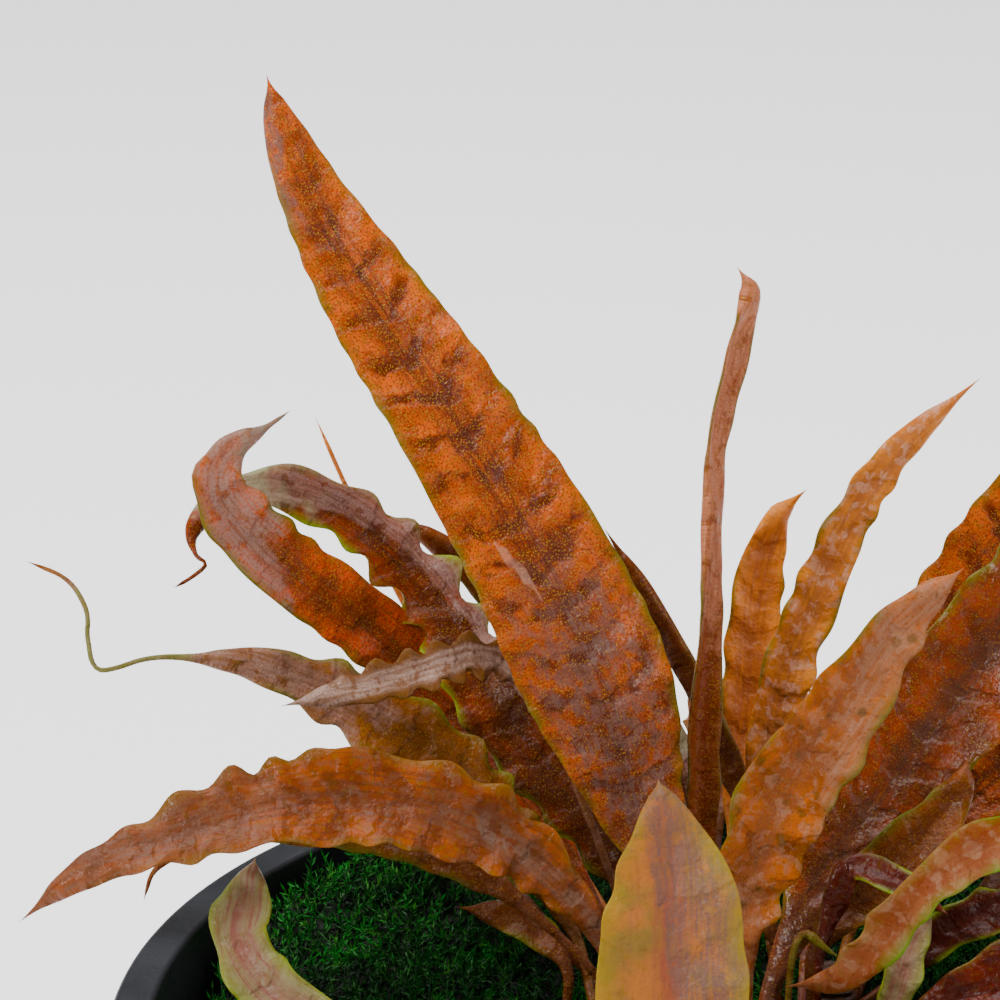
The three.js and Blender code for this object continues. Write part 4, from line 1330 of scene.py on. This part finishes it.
@dataclass(kw_only=True)
class Scatter(Piece):
    """Repeats small prototypes over the moss bed with Geometry Nodes.

    Args:
        seed: fixes the places and turns.
        density: how many to a square metre.
        low: smallest size.
        high: largest size.
        lean: how far a piece may lean, in radians.
        bare: the share that is left where the mat is thin.
        side: which half of the pot it covers: left (-1), right (1) or both (0).
        pitch: width of the bed's squares, in mm.
    """

    seed: int
    density: float
    low: float
    high: float
    lean: float
    bare: float = 1.0
    side: int = 0
    pitch: float = 1.2

    def inputs(self) -> dict[str, float]:
        """The node tree's named inputs with their values."""
        return {"Density": self.density, "Bare": self.bare, "Seed": self.seed,
                "Smallest": self.low, "Largest": self.high, "Lean": self.lean}

    def ground(self) -> bpy.types.Object:
        """Makes the bed's surface in squares.

        Returns:
            Its object.
        """
        steps = np.arange(-SURFACE.radius, SURFACE.radius + self.pitch, self.pitch)
        x, y = np.meshgrid(steps, steps, indexing="ij")
        points = np.stack([x, y, SURFACE.bed(x, y)], -1).reshape(-1, 3)
        n, faces = len(steps), []
        for i, j in itertools.product(range(n - 1), repeat=2):
            cx, cy = steps[i] + self.pitch / 2, steps[j] + self.pitch / 2
            covered = self.side == 0 or cx * self.side > 0
            if covered and math.hypot(cx, cy) < SURFACE.radius - 0.4:
                a = i * n + j
                faces.append([a, a + n, a + n + 1, a + 1])
        return mesh_object(self.name, points, faces)

    def tree(self, prototypes: bpy.types.Collection,
             material: bpy.types.Material) -> bpy.types.NodeTree:
        """Builds the node tree: points, one prototype each, turned and sized, made real.

        Args:
            prototypes: the small meshes to repeat.
            material: the material set on all of them.
        Returns:
            The tree.
        """
        tree = bpy.data.node_groups.new(self.name, "GeometryNodeTree")
        face = tree.interface
        face.new_socket("Geometry", in_out="INPUT", socket_type="NodeSocketGeometry")
        for name, value in self.inputs().items():
            kind = "Int" if isinstance(value, int) else "Float"
            face.new_socket(name, in_out="INPUT", socket_type=f"NodeSocket{kind}")
        face.new_socket("Geometry", in_out="OUTPUT", socket_type="NodeSocketGeometry")

        def node(kind: str, inputs: dict, **settings: object) -> bpy.types.bpy_prop_collection:
            """Adds a node and returns its outputs."""
            return add_node(tree, kind, inputs, settings).outputs

        given = node("NodeGroupInput", {})
        # The mat is thin in patches of about 13 mm
        thin = node("ShaderNodeTexNoise", {"Scale": per_metre(0.75), "Detail": 2.0})["Fac"]
        share = node("ShaderNodeMapRange", {"Value": thin, "From Min": 0.4, "From Max": 0.56,
                                            "To Min": given["Bare"], "To Max": 1.0})[0]
        density = node("ShaderNodeMath", {0: share, 1: given["Density"]}, operation="MULTIPLY")[0]
        points = node("GeometryNodeDistributePointsOnFaces",
                      {"Mesh": given["Geometry"], "Density": density, "Seed": given["Seed"]})
        kinds = node("GeometryNodeCollectionInfo",
                     {"Collection": prototypes, "Separate Children": True,
                      "Reset Children": True})
        size = node("FunctionNodeRandomValue",
                    {2: given["Smallest"], 3: given["Largest"], "Seed": given["Seed"]})
        back = node("ShaderNodeMath", {0: given["Lean"], 1: -1.0}, operation="MULTIPLY")[0]
        tilts = [node("FunctionNodeRandomValue", {2: back, 3: given["Lean"],
                                                  "Seed": self.seed + i})[1] for i in (1, 2)]
        turn = node("FunctionNodeRandomValue", {3: FULL_TURN, "Seed": self.seed + 3})[1]
        way = node("ShaderNodeCombineXYZ", {0: tilts[0], 1: tilts[1], 2: turn})
        grown = node("GeometryNodeInstanceOnPoints",
                     {"Points": points["Points"], "Instance": kinds[0], "Pick Instance": True,
                      "Rotation": way[0], "Scale": size[1]})
        real = node("GeometryNodeRealizeInstances", {0: grown[0]})
        paint = node("GeometryNodeSetMaterial", {"Geometry": real[0], "Material": material})
        node("NodeGroupOutput", {0: paint[0]})
        return tree

    def build(self, prototypes: bpy.types.Collection, material: bpy.types.Material) -> None:
        """Grows the piece.

        Args:
            prototypes: the small meshes to repeat.
            material: the material set on all of them.
        """
        made = self.ground()
        grown = made.modifiers.new(self.name, "NODES")
        grown.node_group = self.tree(prototypes, material)
        values = self.inputs()
        for socket in grown.node_group.interface.items_tree:
            if socket.name in values:
                grown[socket.identifier] = values[socket.name]
        settle(made)
        if not made.data.materials:
            made.data.materials.append(material)
        self.place(made)


@dataclass
class Prototypes:
    """Small meshes for the scatter: moss shoots and soil crumbs, in real size.

    Args:
        stem: radius of a shoot's stem at its foot, in mm.
        leaf_half: half the width of its leaves, in mm.
        leaf_reach: how far they stand out, in mm.
        leaf_turn: angle from one leaf to the next, in radians.
        seed: fixes the random numbers.
    """

    stem: float = 0.08
    leaf_half: float = 0.1
    leaf_reach: float = 0.8
    leaf_turn: float = 2.4
    seed: int = 11

    def __post_init__(self) -> None:
        """Starts the seeded random numbers."""
        self.rng = np.random.default_rng(self.seed)

    @staticmethod
    def collection(name: str, meshes: list[tuple[list, list, list]]) -> bpy.types.Collection:
        """Puts meshes into a collection that is outside the scene.

        Args:
            name: the collection's name.
            meshes: points in mm, faces and height shares of each.
        Returns:
            The collection.
        """
        group = bpy.data.collections.new(name)
        for i, (points, faces, shares) in enumerate(meshes):
            made = mesh_object(f"{name}_{i}", points, faces, group)
            made.data.attributes.new("tip", "FLOAT", "POINT").data.foreach_set("value", shares)
        return group

    def shoot(self, length: float, bend: float, leaves: int = 14) -> tuple[list, list, list]:
        """One moss shoot: a thin bent stem with small pointed leaves all round.

        Args:
            length: its length in mm.
            bend: how far its tip hangs over, in mm.
            leaves: how many leaves stand round it.
        Returns:
            Points, faces and height shares.
        """
        def stem(t: float) -> np.ndarray:
            """The stem's middle at a share of its length."""
            return np.array([bend * t * t, 0.25 * math.sin(5 * t), length * t])

        # A stem of three sides and three lengths
        points, faces, shares = [], [], []
        for ring, k in itertools.product(range(4), range(3)):
            radius, a = self.stem * (1 - 0.2 * ring), FULL_TURN * k / 3
            points.append(stem(ring / 3) + [radius * math.cos(a), radius * math.sin(a), 0])
            shares.append(ring / 3)
        for ring, k in itertools.product(range(3), repeat=2):
            a, b = 3 * ring + k, 3 * ring + (k + 1) % 3
            faces.append([a, b, b + 3, a + 3])
        # Leaves of one kite each, shorter and steeper towards the tip
        for i in range(leaves):
            t = 0.15 + 0.83 * i / (leaves - 1)
            a = i * self.leaf_turn + self.rng.uniform(-0.3, 0.3)
            out = np.array([math.cos(a), math.sin(a), 0.0])
            across = np.array([-math.sin(a), math.cos(a), 0.0]) * self.leaf_half
            reach = self.leaf_reach * (1.1 - 0.6 * t)
            middle = stem(t) + out * reach * 0.45 + [0, 0, 0.25]
            n = len(points)
            points += [stem(t), middle - across,
                       stem(t) + out * reach + [0, 0, 0.4 + 0.35 * t], middle + across]
            shares += [t * 0.9, t, min(t + 0.15, 1), t]
            faces.append([n, n + 1, n + 2, n + 3])
        return points, faces, shares

    def crumb(self) -> tuple[list, list, list]:
        """One soil crumb: an uneven lump of about 1 mm.

        Returns:
            Points, faces and height shares.
        """
        shape = bmesh.new()
        bmesh.ops.create_icosphere(shape, subdivisions=1, radius=0.5)
        stretch = self.rng.uniform(0.6, 1.3, 3)
        points = [np.array(v.co) * stretch * self.rng.uniform(0.8, 1.2) for v in shape.verts]
        faces = [[v.index for v in f.verts] for f in shape.faces]
        shape.free()
        return points, faces, [0.0] * len(points)

    def shoots(self) -> bpy.types.Collection:
        """Five moss shoots of different length and bend."""
        sizes = [(3.2, 0.6), (2.8, 1.1), (2.3, 0.3), (3.5, 1.6), (1.9, 0.9)]
        return self.collection("shoot", [self.shoot(*size) for size in sizes])

    def tufts(self) -> bpy.types.Collection:
        """Three short young shoots that fill the mat."""
        sizes = [(1.6, 0.4), (1.3, 0.8), (1.9, 0.6)]
        return self.collection("tuft", [self.shoot(*size, 6) for size in sizes])

    def crumbs(self) -> bpy.types.Collection:
        """Six soil crumbs."""
        return self.collection("crumb", [self.crumb() for _ in range(6)])


@dataclass(frozen=True)
class Lamp:
    """One square area light.

    Args:
        name: its name.
        place: where it is, in metres.
        size: its side, in metres.
        power: its power, in watts.
        aim: what it points at, in metres.
    """

    name: str
    place: tuple[float, float, float]
    size: float
    power: float
    aim: tuple[float, float, float] = (0.0, 0.0, 0.12)

    def build(self) -> None:
        """Adds the light to the scene."""
        data = bpy.data.lights.new(self.name, "AREA")
        data.size, data.energy = self.size, self.power
        lamp = bpy.data.objects.new(self.name, data)
        lamp.location = self.place
        x, y, z = np.array(self.aim) - np.array(self.place)
        lamp.rotation_euler = (math.atan2(math.hypot(x, y), -z), 0, math.atan2(y, x) - math.pi / 2)
        bpy.context.scene.collection.objects.link(lamp)


@dataclass(frozen=True)
class Studio:
    """Camera, light and floor, set as the photograph was taken.

    Args:
        elevation: the camera's height angle, in degrees.
        camera: its place in mm.
        lens: focal length in mm.
        sensor: width of the sensor in mm.
        ambient: strength of the white light from all round.
        floor_half: half the width of the floor, in mm.
        lamps: the area lights.
    """

    elevation: float = 20.0
    camera: tuple[float, float, float] = (-19.7, -284.9, POT_HEIGHT + 152.8)
    lens: float = 128.0
    sensor: float = 36.0
    ambient: float = 0.2
    floor_half: float = 6000.0
    lamps: tuple[Lamp, ...] = (
        Lamp("overhead", (-0.15, 0.2, 0.85), 0.7, 7.6),
        Lamp("front_left", (-0.55, -0.45, 0.6), 0.3, 4.4),
        Lamp("right", (0.7, -0.1, 0.45), 0.45, 2.5),
    )

    def build(self) -> None:
        """Adds the camera, the soft lights, the world and the floor."""
        scene = bpy.context.scene
        data = bpy.data.cameras.new("camera")
        data.lens, data.sensor_width, data.clip_start = self.lens, self.sensor, 0.01
        camera = bpy.data.objects.new("camera", data)
        camera.location = [c * MM for c in self.camera]
        camera.rotation_euler = (math.radians(90 - self.elevation), 0, 0)
        scene.collection.objects.link(camera)
        scene.camera = camera
        for lamp in self.lamps:
            lamp.build()
        world = bpy.data.worlds.new("studio")
        world.use_nodes = True
        fill(world.node_tree, world.node_tree.nodes["Background"],
             {"Color": "#ffffff", "Strength": self.ambient})
        scene.world = world
        self.floor()

    def floor(self) -> None:
        """Adds the plain pale floor at the pot's underside, lit a little from within."""
        half = self.floor_half
        made = mesh_object("floor", [(-half, -half, 0), (half, -half, 0), (half, half, 0),
                                     (-half, half, 0)], [[0, 1, 2, 3]])
        made.data.materials.append(Shader("floor").finish(
            Base_Color="#f8f8f8", Roughness=0.9, Emission_Color="#ffffff", Emission_Strength=1.2))


def build_filling() -> None:
    """Dresses the soil and makes the moss bed, its shoots and the crumbs on it."""
    soil = SoilFinish("soil").build()
    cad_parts["soil"].data.materials.clear()
    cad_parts["soil"].data.materials.append(soil)
    LOG.info("soil: its own solid, dressed")
    MossBed("moss_bed", "moss", ("moss",)).build(
        SoilFinish("moss_bed", "#0e120a", "#1c2414").build())
    kinds, moss = Prototypes(), MossFinish("moss").build()
    shoots, crumbs = kinds.shoots(), kinds.crumbs()
    for name, side, seed in (("moss_left", -1, 21), ("moss_right", 1, 22)):
        Scatter(name, "moss", seed=seed, density=1.2e6, low=0.6, high=1.25, lean=0.9, bare=0.6,
                side=side).build(shoots, moss)
    Scatter("moss_low", "moss", seed=24, density=7.0e5, low=0.8, high=1.3,
            lean=1.2).build(kinds.tufts(), moss)
    Scatter("soil_crumbs", "soil", seed=23, density=3.0e5, low=0.4, high=1.5,
            lean=1.0).build(crumbs, soil)


def build_plant() -> None:
    """Makes the rhizomes and the leaves."""
    bark = RhizomeFinish("rhizome").build()
    for name in CROWNS:
        Crown(f"crown_{name}_rhizome", "rhizome", (f"crown_{name}",)).build(bark)
    skins = {look: LeafPaint(f"leaf_{look.value[0]}", LOOKS[look]).paint() for look in Look}
    for seed, (name, form) in enumerate(LEAVES.items()):
        leaf = LeafPiece(f"{name}_leaf", form.look.value[1], (f"leaf_{name}",), form=form,
                         seed=seed)
        leaf.build(skins[form.look])


def main() -> None:
    logging.basicConfig(level=logging.INFO, format="%(message)s")
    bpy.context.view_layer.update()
    PotPiece("nursery_pot", "pot", ("pot",)).build(PlasticFinish("pot_plastic").build())
    build_filling()
    build_plant()
    Studio().build()
    bpy.context.view_layer.update()


if __name__ == "__main__":
    main()
